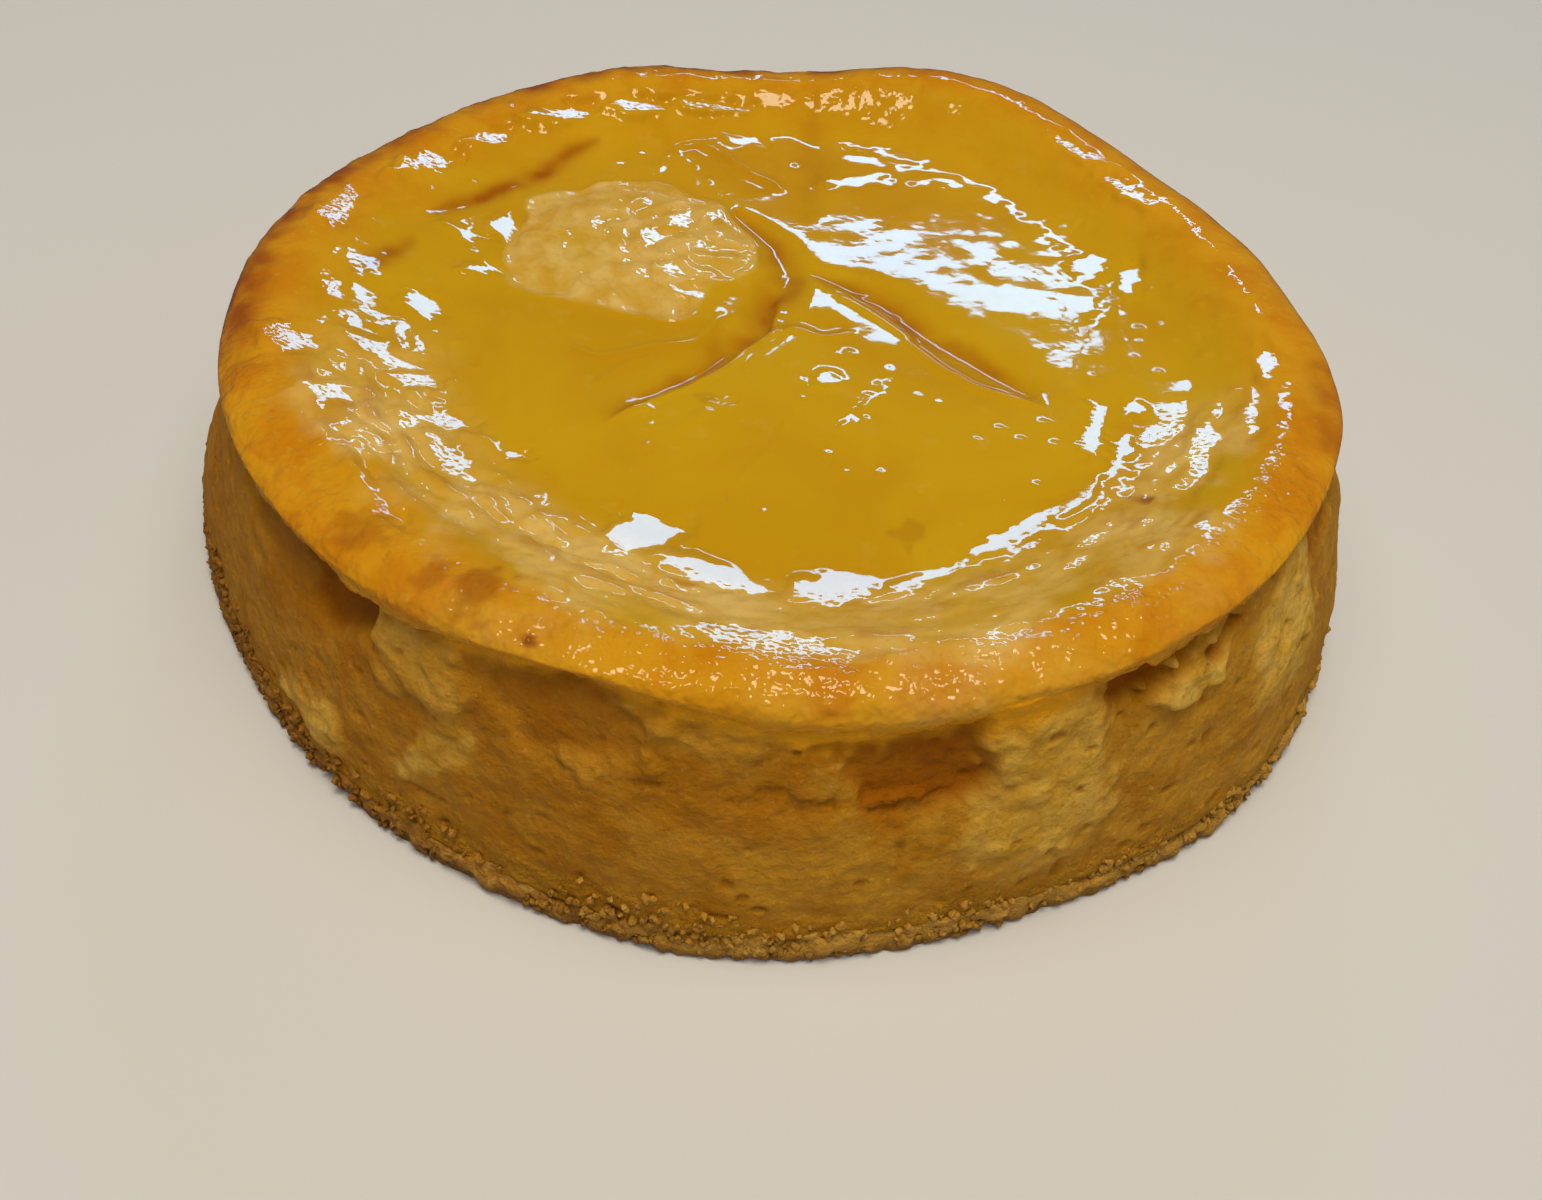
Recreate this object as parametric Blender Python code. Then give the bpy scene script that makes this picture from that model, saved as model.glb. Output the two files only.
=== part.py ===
"""A whole round baked cheesecake on a thin crumb base.

Metres, +Z up. The origin is the middle of the underside, and the side of the cake that shows
in front faces -Y. Angles are degrees round +Z from +X. Heights and widths that change round
the cake are short lists of their rises and dips, joined by smooth waves.
"""
import math
import random

import bpy
import bmesh
import numpy as np

# Size of the plain oval that every outline is a share of
HALF_WIDTH = 0.0990
HALF_DEPTH = 0.0938

# The crumb layer under the cake
CRUMB_THICKNESS = 0.0048
CRUMB_RAGGEDNESS = 0.0007
CRUMB_RIPPLES = (5, 8, 13, 21)
CRUMB_BELLY = 0.28         # height of the crumb edge's widest line, as a share of its thickness
CRUMB_SHOULDER = 0.66
LAYER_GAP = 0.0003
SEED = 7

# The wall between the crumbs and the lip
WALL_FOOT = 0.976          # radius just above the crumbs, as a share of the foot
WALL_BULGE = 1.7           # 1 is a straight wall, more keeps it wide and tucks it in higher up
HOLLOW_FLOOR = 0.55        # a hollow is full depth inside this share of its size
HOLLOW_BRIM = 1.15

# The browned lip that hangs over the wall
LIP_ROUNDING = 0.0012
LIP_TUCK = 0.0014
LIP_BELLY = 0.34           # height of the lip's widest line, as a share of the lip
CREST_SETBACK = 0.0075     # from the lip's outer edge in to the highest line of the rim

# The sunken middle
POOL_HEIGHT = 0.0402
POOL_SLOPE = 0.030         # rise per metre towards the front
POOL_LEAN = 0.012          # rise per metre towards the right
POOL_CROWN = 0.0008        # how far the very middle stands above the pool's edge

# The wrinkled island left of the middle, standing a little above the pool
ISLAND_CENTRE = (-0.0290, 0.0225)
ISLAND_HALF_SIZE = (0.0205, 0.0195)
ISLAND_RISE = 0.0011
ISLAND_TOP = 0.75          # level inside this share of its size, and gone at the next
ISLAND_EDGE = 1.10

# Resolution
SEGMENTS = 120
POOL_RINGS = 11
SLOPE_RINGS = 6
SHOULDER_RINGS = 5
WALL_RINGS = 9
CRUMB_SEGMENTS = 180
SHARP_ANGLE = 50

# (degrees, share of the plain oval) of the foot's edge
FOOT_OUTLINE = (
    (-178, 1.034), (-148, 0.999), (-118, 1.008), (-94, 1.026), (-60, 1.001), (-32, 1.024),
    (2, 1.016), (44, 0.996), (84, 1.006), (122, 0.992), (152, 1.012),
)
# (degrees, share of the plain oval) of the lip's outer edge
LIP_OUTLINE = (
    (-172, 0.934), (-118, 0.932), (-86, 0.930), (-48, 0.936), (-14, 0.914), (12, 0.874),
    (36, 0.880), (68, 0.955), (98, 0.912), (128, 0.934), (156, 0.944),
)
# (degrees, metres) of the lip's lower edge
LIP_EDGE = (
    (-176, 0.0372), (-140, 0.0424), (-124, 0.0418), (-106, 0.0460), (-84, 0.0401),
    (-40, 0.0466), (0, 0.0452), (40, 0.0402), (74, 0.0384), (96, 0.0350), (114, 0.0362),
    (150, 0.0342),
)
# (degrees, metres) that the lip stands out over the wall
LIP_OVERHANG = (
    (-176, 0.0016), (-138, 0.0030), (-112, 0.0012), (-88, 0.0004), (-66, 0.0006),
    (-50, 0.0022), (-34, 0.0014), (-18, 0.0020), (4, 0.0008), (40, 0.0016), (90, 0.0010),
    (130, 0.0018),
)
# (degrees, metres) of the rim's highest line
RIM_CREST = (
    (-178, 0.0452), (-150, 0.0466), (-106, 0.0499), (-86, 0.0492), (-42, 0.0512), (0, 0.0486),
    (40, 0.0466), (72, 0.0470), (96, 0.0436), (114, 0.0448), (150, 0.0430),
)
# (degrees, metres from the middle of the cake) where the top starts to rise to the rim
POOL_OUTLINE = (
    (-150, 0.0460), (-110, 0.0500), (-86, 0.0540), (-40, 0.0530), (0, 0.0560), (36, 0.0580),
    (92, 0.0630), (132, 0.0560), (164, 0.0430),
)
# Places where the side was torn away: (degrees, height, half width in degrees, half height, depth)
WALL_HOLLOWS = (
    (-136, 0.0390, 7.0, 0.0080, 0.0030),
    (-109, 0.0385, 7.5, 0.0085, 0.0022),
    (-88, 0.0330, 7.0, 0.0030, 0.0012),
    (-77, 0.0355, 5.5, 0.0070, 0.0026),
    (-50, 0.0415, 8.0, 0.0070, 0.0026),
    (-148, 0.0290, 6.0, 0.0090, 0.0012),
    (-62, 0.0240, 6.0, 0.0090, 0.0010),
    (-20, 0.0340, 9.0, 0.0090, 0.0016),
    (24, 0.0300, 10.0, 0.0080, 0.0020),
    (68, 0.0270, 9.0, 0.0070, 0.0022),
    (112, 0.0250, 8.0, 0.0080, 0.0018),
    (152, 0.0260, 9.0, 0.0070, 0.0022),
)
# Cracks in the pool: the line of each valley from above, its depth and half its width
CRACKS = (
    dict(line=((-0.0121, 0.0361), (-0.0040, 0.0266), (-0.0010, 0.0189), (-0.0048, 0.0031),
               (-0.0152, -0.0117), (-0.0225, -0.0210)), depth=0.0013, half_width=0.0040),
    dict(line=((0.0040, 0.0190), (0.0160, 0.0128), (0.0247, 0.0035), (0.0400, -0.0095)),
         depth=0.0012, half_width=0.0042),
    dict(line=((0.0010, 0.0375), (0.0016, 0.0581), (0.0000, 0.0740)),
         depth=0.0005, half_width=0.0040),
    dict(line=((-0.0741, 0.0077), (-0.0664, 0.0334), (-0.0446, 0.0514), (-0.0400, 0.0560)),
         depth=0.0008, half_width=0.0040),
)


def wave(angles, knots):
    """Smooth closed wave through (degrees, value) knots, level at each knot."""
    knots = sorted(knots)
    first, last = knots[0], knots[-1]
    knots = [(last[0] - 360, last[1])] + knots + [(first[0] + 360, first[1])]
    at = np.array([knot[0] for knot in knots], float)
    value = np.array([knot[1] for knot in knots], float)
    angles = (np.asarray(angles, float) - at[1]) % 360 + at[1]
    index = np.clip(np.searchsorted(at, angles, side="right") - 1, 0, len(at) - 2)
    share = (angles - at[index]) / (at[index + 1] - at[index])
    ease = (1 - np.cos(math.pi * share)) / 2
    return value[index] + (value[index + 1] - value[index]) * ease


def ease_between(low, high, x):
    """0 below low, 1 above high, a smooth step between."""
    t = np.clip((x - low) / (high - low), 0, 1)
    return t * t * (3 - 2 * t)


def oval_radius(angles):
    """Radius of the plain oval at each angle."""
    turn = np.radians(angles)
    return 1 / np.sqrt((np.cos(turn) / HALF_WIDTH) ** 2 + (np.sin(turn) / HALF_DEPTH) ** 2)


def distance_to_line(x, y, line):
    """Shortest distance from each point to a line of straight runs."""
    nearest = np.full(np.shape(x), HALF_WIDTH * 2)
    for (ax, ay), (bx, by) in zip(line, line[1:]):
        run_x, run_y = bx - ax, by - ay
        along = ((x - ax) * run_x + (y - ay) * run_y) / (run_x ** 2 + run_y ** 2)
        along = np.clip(along, 0, 1)
        nearest = np.minimum(nearest, np.hypot(x - ax - along * run_x, y - ay - along * run_y))
    return nearest


def pool_surface(x, y):
    """Height of the sunken middle, with its valleys and the island."""
    reach = np.clip(np.hypot(x, y) / HALF_DEPTH, 0, 1)
    height = POOL_HEIGHT - POOL_SLOPE * y + POOL_LEAN * x + POOL_CROWN * (1 - reach ** 2)
    for crack in CRACKS:
        away = distance_to_line(x, y, crack["line"]) / crack["half_width"]
        height = height - crack["depth"] * np.exp(-away ** 2)
    side_x = (x - ISLAND_CENTRE[0]) / ISLAND_HALF_SIZE[0]
    side_y = (y - ISLAND_CENTRE[1]) / ISLAND_HALF_SIZE[1]
    island = 1 - ease_between(ISLAND_TOP, ISLAND_EDGE, np.hypot(side_x, side_y))
    return height + ISLAND_RISE * island


def wall_relief(angle, height):
    """How far the torn side lies behind a plain wall."""
    depth = np.zeros(np.shape(angle))
    for at, level, half_turn, half_height, deep in WALL_HOLLOWS:
        turn = (angle - at + 180) % 360 - 180
        inside = np.maximum(abs(turn) / half_turn, abs(height - level) / half_height)
        depth = depth + deep * (1 - ease_between(HOLLOW_FLOOR, HOLLOW_BRIM, inside))
    return depth


def ring(angles, radius, height):
    """One closed row of points round the cake."""
    turn = np.radians(angles)
    radius = np.broadcast_to(radius, angles.shape)
    height = np.broadcast_to(height, angles.shape)
    return np.stack([radius * np.cos(turn), radius * np.sin(turn), height], axis=1)


def skin_rings(name, bottom, rings, top):
    """Closed solid: a bottom point, rings from bottom to top, and a top point."""
    mesh = bpy.data.meshes.new(name)
    bm = bmesh.new()
    low = bm.verts.new(bottom)
    high = bm.verts.new(top)
    rows = [[bm.verts.new(point) for point in row] for row in rings]
    count = len(rows[0])
    for k in range(count):
        after = (k + 1) % count
        bm.faces.new((low, rows[0][after], rows[0][k]))
        bm.faces.new((high, rows[-1][k], rows[-1][after]))
    for lower, upper in zip(rows, rows[1:]):
        for k in range(count):
            after = (k + 1) % count
            bm.faces.new((lower[k], lower[after], upper[after], upper[k]))
    bmesh.ops.triangulate(bm, faces=bm.faces[:])
    bm.to_mesh(mesh)
    bm.free()
    return mesh


def add_object(name, mesh, color, roughness):
    """Object with its own plain material, shaded smooth where it is round."""
    material = bpy.data.materials.new(name + "_finish")
    material.use_nodes = True
    shader = material.node_tree.nodes["Principled BSDF"]
    shader.inputs["Base Color"].default_value = (*color, 1)
    shader.inputs["Roughness"].default_value = roughness
    shader.inputs["Metallic"].default_value = 0
    mesh.materials.append(material)
    mesh.shade_smooth()
    mesh.set_sharp_from_angle(angle=math.radians(SHARP_ANGLE))
    item = bpy.data.objects.new(name, mesh)
    bpy.context.scene.collection.objects.link(item)
    return item


def cheesecake():
    """Wall, overhanging lip, rolling rim and sunken pool, as one solid."""
    angles = np.arange(SEGMENTS) * 360 / SEGMENTS - 180
    turns = np.radians(angles)
    oval = oval_radius(angles)
    wall_foot = oval * wave(angles, FOOT_OUTLINE) * WALL_FOOT
    lip_radius = oval * wave(angles, LIP_OUTLINE)
    lip_height = wave(angles, LIP_EDGE)
    crest_height = wave(angles, RIM_CREST)
    pool_radius = wave(angles, POOL_OUTLINE)
    underside = CRUMB_THICKNESS + LAYER_GAP
    wall_top = lip_height - LIP_TUCK
    neck_radius = lip_radius - wave(angles, LIP_OVERHANG)
    rings = []

    for step in range(WALL_RINGS):
        share = step / (WALL_RINGS - 1)
        height = underside + (wall_top - underside) * share
        plain = wall_foot + (neck_radius - wall_foot) * share ** WALL_BULGE
        rings.append(ring(angles, plain - wall_relief(angles, height), height))

    rings.append(ring(angles, lip_radius - LIP_ROUNDING, lip_height))
    belly_height = lip_height + (crest_height - lip_height) * LIP_BELLY
    rings.append(ring(angles, lip_radius, belly_height))

    crest_radius = lip_radius - CREST_SETBACK
    for step in range(1, SHOULDER_RINGS + 1):
        arc = math.pi / 2 * step / SHOULDER_RINGS
        radius = crest_radius + CREST_SETBACK * math.cos(arc)
        height = belly_height + (crest_height - belly_height) * math.sin(arc)
        rings.append(ring(angles, radius, height))

    for step in range(1, SLOPE_RINGS + 1):
        share = step / SLOPE_RINGS
        radius = crest_radius + (pool_radius - crest_radius) * share
        level = pool_surface(radius * np.cos(turns), radius * np.sin(turns))
        rise = (1 - share) ** 3 * (1 + 3 * share)
        rings.append(ring(angles, radius, level + (crest_height - level) * rise))

    for step in range(1, POOL_RINGS + 1):
        radius = pool_radius * (1 - step / (POOL_RINGS + 1))
        level = pool_surface(radius * np.cos(turns), radius * np.sin(turns))
        rings.append(ring(angles, radius, level))

    middle = float(pool_surface(np.array(0.0), np.array(0.0)))
    mesh = skin_rings("cheesecake", (0, 0, underside), rings, (0, 0, middle))
    return add_object("cheesecake", mesh, (0.62, 0.30, 0.04), 0.12)


def crumb_base():
    """Thin pressed layer under the cake, its edge ragged with crumbs."""
    draw = random.Random(SEED)
    angles = np.arange(CRUMB_SEGMENTS) * 360 / CRUMB_SEGMENTS - 180
    foot = oval_radius(angles) * wave(angles, FOOT_OUTLINE)
    ragged = np.array([draw.uniform(-CRUMB_RAGGEDNESS, CRUMB_RAGGEDNESS) for _ in angles])
    for count in CRUMB_RIPPLES:
        shift = draw.uniform(0, 2 * math.pi)
        ragged += CRUMB_RAGGEDNESS / 2 * np.sin(np.radians(angles * count) + shift)
    rings = [
        ring(angles, foot - CRUMB_RAGGEDNESS * 3 + ragged, 0.0),
        ring(angles, foot - CRUMB_RAGGEDNESS + ragged, CRUMB_THICKNESS * CRUMB_BELLY),
        ring(angles, foot - CRUMB_RAGGEDNESS * 1.5 + ragged, CRUMB_THICKNESS * CRUMB_SHOULDER),
        ring(angles, foot * WALL_FOOT - CRUMB_RAGGEDNESS, CRUMB_THICKNESS),
    ]
    mesh = skin_rings("crumb_base", (0, 0, 0), rings, (0, 0, CRUMB_THICKNESS))
    return add_object("crumb_base", mesh, (0.34, 0.18, 0.06), 0.85)


def main():
    for old in list(bpy.data.objects):
        bpy.data.objects.remove(old, do_unlink=True)
    cheesecake()
    crumb_base()


main()
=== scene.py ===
import itertools
import math

import bpy
import numpy as np
from mathutils import Matrix, Vector


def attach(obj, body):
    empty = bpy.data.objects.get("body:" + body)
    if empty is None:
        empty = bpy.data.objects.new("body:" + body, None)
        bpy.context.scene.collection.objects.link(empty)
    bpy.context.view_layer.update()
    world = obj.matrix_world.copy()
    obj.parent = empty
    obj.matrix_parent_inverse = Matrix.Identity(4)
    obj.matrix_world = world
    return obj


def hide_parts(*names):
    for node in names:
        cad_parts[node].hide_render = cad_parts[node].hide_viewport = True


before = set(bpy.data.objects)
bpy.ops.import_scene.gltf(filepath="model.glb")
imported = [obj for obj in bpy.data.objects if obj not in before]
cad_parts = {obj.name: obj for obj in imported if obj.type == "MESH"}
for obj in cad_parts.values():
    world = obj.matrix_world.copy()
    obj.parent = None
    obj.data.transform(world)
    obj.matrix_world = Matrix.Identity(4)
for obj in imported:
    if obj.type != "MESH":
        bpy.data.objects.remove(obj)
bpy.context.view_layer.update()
print("frame loaded:", sorted(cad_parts))

# Sizes that every piece shares, in metres and degrees
cake = {
    "halfWidth": 0.0990,
    "halfDepth": 0.0938,
    "crumbTop": 0.0048,
    "layerGap": 0.0003,
    "wallFoot": 0.989,          # radius just above the crumbs, as a share of the foot
    "wallBulge": 1.7,
    "lipBelly": 0.50,
    "crestSetback": 0.0075,
    "poolHeight": 0.0402,
    "poolSlope": 0.030,
    "poolLean": 0.012,
    "poolCrown": 0.0008,
    "islandCentre": (-0.0290, 0.0225),
    "islandHalfSize": (0.0205, 0.0195),
    "islandRise": 0.0011,
    "islandTop": 0.75,
    "islandEdge": 1.10,
}
wallLow = cake["crumbTop"] + cake["layerGap"]
# (degrees round the cake, share of the plain oval)
footOutline = (
    (-178, 1.034), (-148, 0.999), (-118, 1.008), (-94, 1.026), (-60, 1.001), (-32, 1.024),
    (2, 1.016), (44, 0.996), (84, 1.006), (122, 0.992), (152, 1.012),
)
lipOutline = (
    (-172, 0.934), (-118, 0.932), (-86, 0.930), (-48, 0.936), (-14, 0.914), (12, 0.874),
    (36, 0.880), (68, 0.955), (98, 0.912), (128, 0.934), (156, 0.944),
)
# (degrees round the cake, millimetres)
lipEdge = (
    (-176, 37.2), (-140, 42.4), (-124, 41.8), (-106, 46), (-84, 40.1), (-40, 46.6), (0, 45.2),
    (40, 40.2), (74, 38.4), (96, 35), (114, 36.2), (150, 34.2),
)
lipOverhang = (
    (-176, 1.6), (-138, 3), (-112, 1.2), (-88, 0.4), (-66, 0.6), (-50, 2.2), (-34, 1.4), (-18, 2),
    (4, 0.8), (40, 1.6), (90, 1), (130, 1.8),
)
rimCrest = (
    (-178, 45.2), (-150, 46.6), (-106, 49.9), (-86, 49.2), (-42, 51.2), (0, 48.6), (40, 46.6),
    (72, 47), (96, 43.6), (114, 44.8), (150, 43),
)
# Where the top starts to rise to the rim (degrees, millimetres out from the middle)
poolOutline = (
    (-150, 46), (-110, 50), (-86, 54), (-40, 53), (0, 56), (36, 58), (92, 63), (132, 56),
    (164, 43),
)
# How far the browned skin reaches in from the crest (degrees, millimetres)
browningReach = (
    (-150, 15), (-115, 7), (-75, 4.5), (-35, 7), (0, 10), (40, 12), (90, 9), (130, 13), (166, 19),
)
# The valleys of the cracks seen from above, in millimetres; the last value is a share of the dark
# red-brown laid along each valley, which is partly the glaze's own deeper colour and partly
# painted shade
cracks = (
    dict(line=((-12.1, 36.1), (-4, 26.6), (-1, 18.9), (-4.8, 3.1), (-15.2, -11.7), (-22.5, -21)),
         depth=1.3, halfWidth=3.4, stainAndShade=0.95),
    dict(line=((4, 19), (16, 12.8), (24.7, 3.5), (40, -9.5)),
         depth=1.2, halfWidth=3.5, stainAndShade=0.95),
    dict(line=((1, 37.5), (1.6, 58.1), (0, 74)), depth=0.5, halfWidth=3.4, stainAndShade=0.35),
    dict(line=((-65, 25.5), (-59.5, 30.5), (-54, 38), (-49, 44), (-43, 52.5), (-40, 56.5)),
         depth=0.6, halfWidth=2.6, stainAndShade=1.2),
    dict(line=((-73.5, 3), (-70.5, 10), (-66.5, 17.5)), depth=0.5, halfWidth=2.6, stainAndShade=1.1),
)


# Shapes worked out in numpy
def waveRound(angles, knots):
    # smooth closed wave through (degrees, value) knots, level at each knot
    knots = sorted(knots)
    first, last = knots[0], knots[-1]
    knots = [(last[0] - 360, last[1])] + knots + [(first[0] + 360, first[1])]
    at = np.array([knot[0] for knot in knots], float)
    value = np.array([knot[1] for knot in knots], float)
    angles = (np.asarray(angles, float) - at[1]) % 360 + at[1]
    index = np.clip(np.searchsorted(at, angles, side="right") - 1, 0, len(at) - 2)
    share = (angles - at[index]) / (at[index + 1] - at[index])
    ease = (1 - np.cos(math.pi * share)) / 2
    return value[index] + (value[index + 1] - value[index]) * ease


def metres(values):
    return np.array(values, float) / 1000


def easeBetween(low, high, x):
    t = np.clip((x - low) / (high - low), 0, 1)
    return t * t * (3 - 2 * t)


def hump(x, halfWidth):
    return np.exp(-(x / halfWidth) ** 2)


def turnFrom(angles, middle):
    # degrees from the middle angle, -180 to 180
    return (angles - middle + 180) % 360 - 180


def aroundAngle(angles, middle, halfWidth, edge):
    # 1 within halfWidth degrees of the middle, fading out over the edge
    return 1 - easeBetween(halfWidth, halfWidth + edge, abs(turnFrom(angles, middle)))


def ovalRadius(angles):
    turn = np.radians(angles)
    across = (np.cos(turn) / cake["halfWidth"]) ** 2
    deep = (np.sin(turn) / cake["halfDepth"]) ** 2
    return 1 / np.sqrt(across + deep)


def softNoise(points, size, seed):
    # smooth noise from -1 to 1 with lumps of the given size, the same each run
    cells = 32
    table = np.random.default_rng(seed).uniform(-1, 1, (cells, cells, cells))
    place = points / size + seed * 3.7
    corner = np.floor(place).astype(int)
    share = place - corner
    share = share ** 3 * (share * (share * 6 - 15) + 10)
    total = np.zeros(len(points))
    for step in itertools.product((0, 1), repeat=3):
        weight = np.prod(np.where(step, share, 1 - share), axis=1)
        i, j, k = ((corner + step) % cells).T
        total += weight * table[i, j, k]
    return total


def layeredNoise(points, size, seed, layers=3, keep=0.5):
    total = np.zeros(len(points))
    for layer in range(layers):
        total += softNoise(points, size / 2 ** layer, seed + layer) * keep ** layer
    return total


def bumps(points, pattern, seed, layers=1, keep=0.5):
    # noise with the size and the height of a pattern
    size, height = pattern
    return layeredNoise(points, size, seed, layers, keep) * height


def bumpsOfEach(points, patterns, seed):
    return sum(bumps(points, pattern, seed + k) for k, pattern in enumerate(patterns))


def smoothLine(points, steps=8):
    # Catmull-Rom curve through points given in millimetres
    points = metres(points)
    padded = np.vstack([2 * points[0] - points[1], points, 2 * points[-1] - points[-2]])
    rows = []
    for a, b, c, d in zip(padded, padded[1:], padded[2:], padded[3:]):
        for t in np.arange(steps) / steps:
            rows.append(0.5 * (2 * b + (c - a) * t + (2 * a - 5 * b + 4 * c - d) * t ** 2
                               + (3 * b - a - 3 * c + d) * t ** 3))
    rows.append(points[-1])
    return np.array(rows)


def lineField(x, y, line):
    # distance to a line, which side of it (1 is left of its travel), and the share along it
    nearest = np.full(len(x), 1.0)
    side = np.ones(len(x))
    along = np.zeros(len(x))
    count = len(line) - 1
    for k in range(count):
        a, run = line[k], line[k + 1] - line[k]
        t = np.clip(((x - a[0]) * run[0] + (y - a[1]) * run[1]) / (run @ run), 0, 1)
        offX, offY = x - a[0] - t * run[0], y - a[1] - t * run[1]
        away = np.hypot(offX, offY)
        closer = away < nearest
        nearest = np.where(closer, away, nearest)
        side = np.where(closer, np.where(run[0] * offY - run[1] * offX >= 0, 1.0, -1.0), side)
        along = np.where(closer, (k + t) / count, along)
    return nearest, side, along


def crackField(x, y, crack, widen=1.0):
    # 1 along the middle of the crack, narrowing towards its ends
    away, _, along = lineField(x, y, metres(crack["line"]))
    taper = 0.35 + 0.65 * np.sin(math.pi * along) ** 0.6
    return hump(away, metres(crack["halfWidth"]) * widen * taper) * taper


def wobbled(points, pattern, *seeds):
    # x and y of the points, each pushed about by noise of the pattern's size and height
    flat = points * (1, 1, 0)
    return [points[:, axis] + bumps(flat, pattern, seed) for axis, seed in enumerate(seeds)]


def poolSurface(x, y):
    reach = np.clip(np.hypot(x, y) / cake["halfDepth"], 0, 1)
    height = cake["poolHeight"] - cake["poolSlope"] * y + cake["poolLean"] * x
    height = height + cake["poolCrown"] * (1 - reach ** 2)
    for crack in cracks:
        height = height - metres(crack["depth"]) * crackField(x, y, crack)
    sideX = (x - cake["islandCentre"][0]) / cake["islandHalfSize"][0]
    sideY = (y - cake["islandCentre"][1]) / cake["islandHalfSize"][1]
    inside = 1 - easeBetween(cake["islandTop"], cake["islandEdge"], np.hypot(sideX, sideY))
    return height + cake["islandRise"] * inside


def ringRow(angles, radius, height):
    turn = np.radians(angles)
    radius = np.broadcast_to(radius, angles.shape)
    height = np.broadcast_to(height, angles.shape)
    return np.stack([radius * np.cos(turn), radius * np.sin(turn), height], axis=1)


def evenAngles(count):
    return np.arange(count) * 360 / count - 180


def outlines(angles):
    # the named outlines of the cake at these angles
    oval = ovalRadius(angles)
    lip = oval * waveRound(angles, lipOutline)
    edge = metres(waveRound(angles, lipEdge))
    crest = metres(waveRound(angles, rimCrest))
    return {
        "foot": oval * waveRound(angles, footOutline),
        "lip": lip,
        "edge": edge,
        "crest": crest,
        "crestRadius": lip - cake["crestSetback"],
        "belly": edge + (crest - edge) * cake["lipBelly"],
        "pool": metres(waveRound(angles, poolOutline)),
        "overhang": metres(waveRound(angles, lipOverhang)),
    }


def footRow(count, share, height):
    # a share of the way out to the foot
    angles = evenAngles(count)
    return ringRow(angles, outlines(angles)["foot"] * share, height)


def shoulderRow(angles, arc, inset):
    # from the widest line of the lip (arc 0) up to the crest (arc 90)
    o = outlines(angles)
    turn = math.radians(arc)
    radius = o["crestRadius"] + (cake["crestSetback"] - inset) * math.cos(turn)
    height = o["belly"] + (o["crest"] - o["belly"] - inset) * math.sin(turn)
    return ringRow(angles, radius, height)


def slopeRow(angles, share, inset):
    # from the crest (0) down to the pool's edge (1)
    o = outlines(angles)
    turn = np.radians(angles)
    radius = o["crestRadius"] + (o["pool"] - o["crestRadius"]) * share
    level = poolSurface(radius * np.cos(turn), radius * np.sin(turn))
    up = 1 - share
    rise = up ** 3 * (4 - 3 * up)
    return ringRow(angles, radius, level + (o["crest"] - level) * rise - inset)


def poolRow(angles, share, inset):
    # from the pool's edge (0) in to the middle (1)
    turn = np.radians(angles)
    radius = outlines(angles)["pool"] * (1 - share)
    level = poolSurface(radius * np.cos(turn), radius * np.sin(turn))
    return ringRow(angles, radius, level - inset)


def closedSkin(name, bottom, rows, top):
    # closed mesh through rows of points, where a row may have half or twice its neighbour's
    points = np.vstack([[bottom]] + rows + [[top]])
    faces = []
    starts = np.cumsum([1] + [len(row) for row in rows])
    last = len(points) - 1
    for k in range(len(rows[0])):
        faces.append((0, 1 + (k + 1) % len(rows[0]), 1 + k))
    for lower, upper, lowStart, upStart in zip(rows, rows[1:], starts, starts[1:]):
        low, up = len(lower), len(upper)
        for k in range(min(low, up)):
            after = (k + 1) % min(low, up)
            if low == up:
                faces.append((lowStart + k, lowStart + after, upStart + after, upStart + k))
            elif low > up:
                a, b, c = (lowStart + (2 * k + step) % low for step in range(3))
                faces.append((a, b, upStart + k))
                faces.append((b, upStart + after, upStart + k))
                faces.append((b, c, upStart + after))
            else:
                a, b, c = (upStart + (2 * k + step) % up for step in range(3))
                faces.append((lowStart + k, b, a))
                faces.append((lowStart + k, lowStart + after, b))
                faces.append((lowStart + after, c, b))
    for k in range(len(rows[-1])):
        start = starts[-2]
        faces.append((last, start + k, start + (k + 1) % len(rows[-1])))
    mesh = bpy.data.meshes.new(name)
    mesh.from_pydata(points.tolist(), [], faces)
    mesh.shade_smooth()
    return mesh


def meshPoints(mesh, value="co"):
    flat = np.empty(len(mesh.vertices) * 3)
    mesh.vertices.foreach_get(value, flat)
    return flat.reshape(-1, 3)


def anglesOf(points):
    return np.degrees(np.arctan2(points[:, 1], points[:, 0]))


def setPoints(mesh, points):
    mesh.vertices.foreach_set("co", np.ascontiguousarray(points, float).ravel())
    mesh.update()


def setMask(mesh, name, values):
    layer = mesh.attributes.new(name, "FLOAT", "POINT")
    layer.data.foreach_set("value", np.clip(values, 0, 1).astype(np.float32))


def placePiece(name, mesh, material):
    if material:
        mesh.materials.append(material)
    piece = bpy.data.objects.new(name, mesh)
    bpy.context.scene.collection.objects.link(piece)
    return piece


# Node trees
def feedInputs(tree, node, inputs):
    # each input takes a value or another node's output
    for key, value in inputs.items():
        socket = node.inputs[key]
        if isinstance(value, bpy.types.NodeSocket):
            tree.links.new(value, socket)
        elif value is not None:
            plainColour = socket.type == "RGBA" and len(value) == 3
            socket.default_value = (*value, 1) if plainColour else value


def newNode(tree, kind, inputs=None, **settings):
    node = tree.nodes.new(kind)
    for name, value in settings.items():
        setattr(node, name, value)
    feedInputs(tree, node, inputs or {})
    return node


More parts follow.
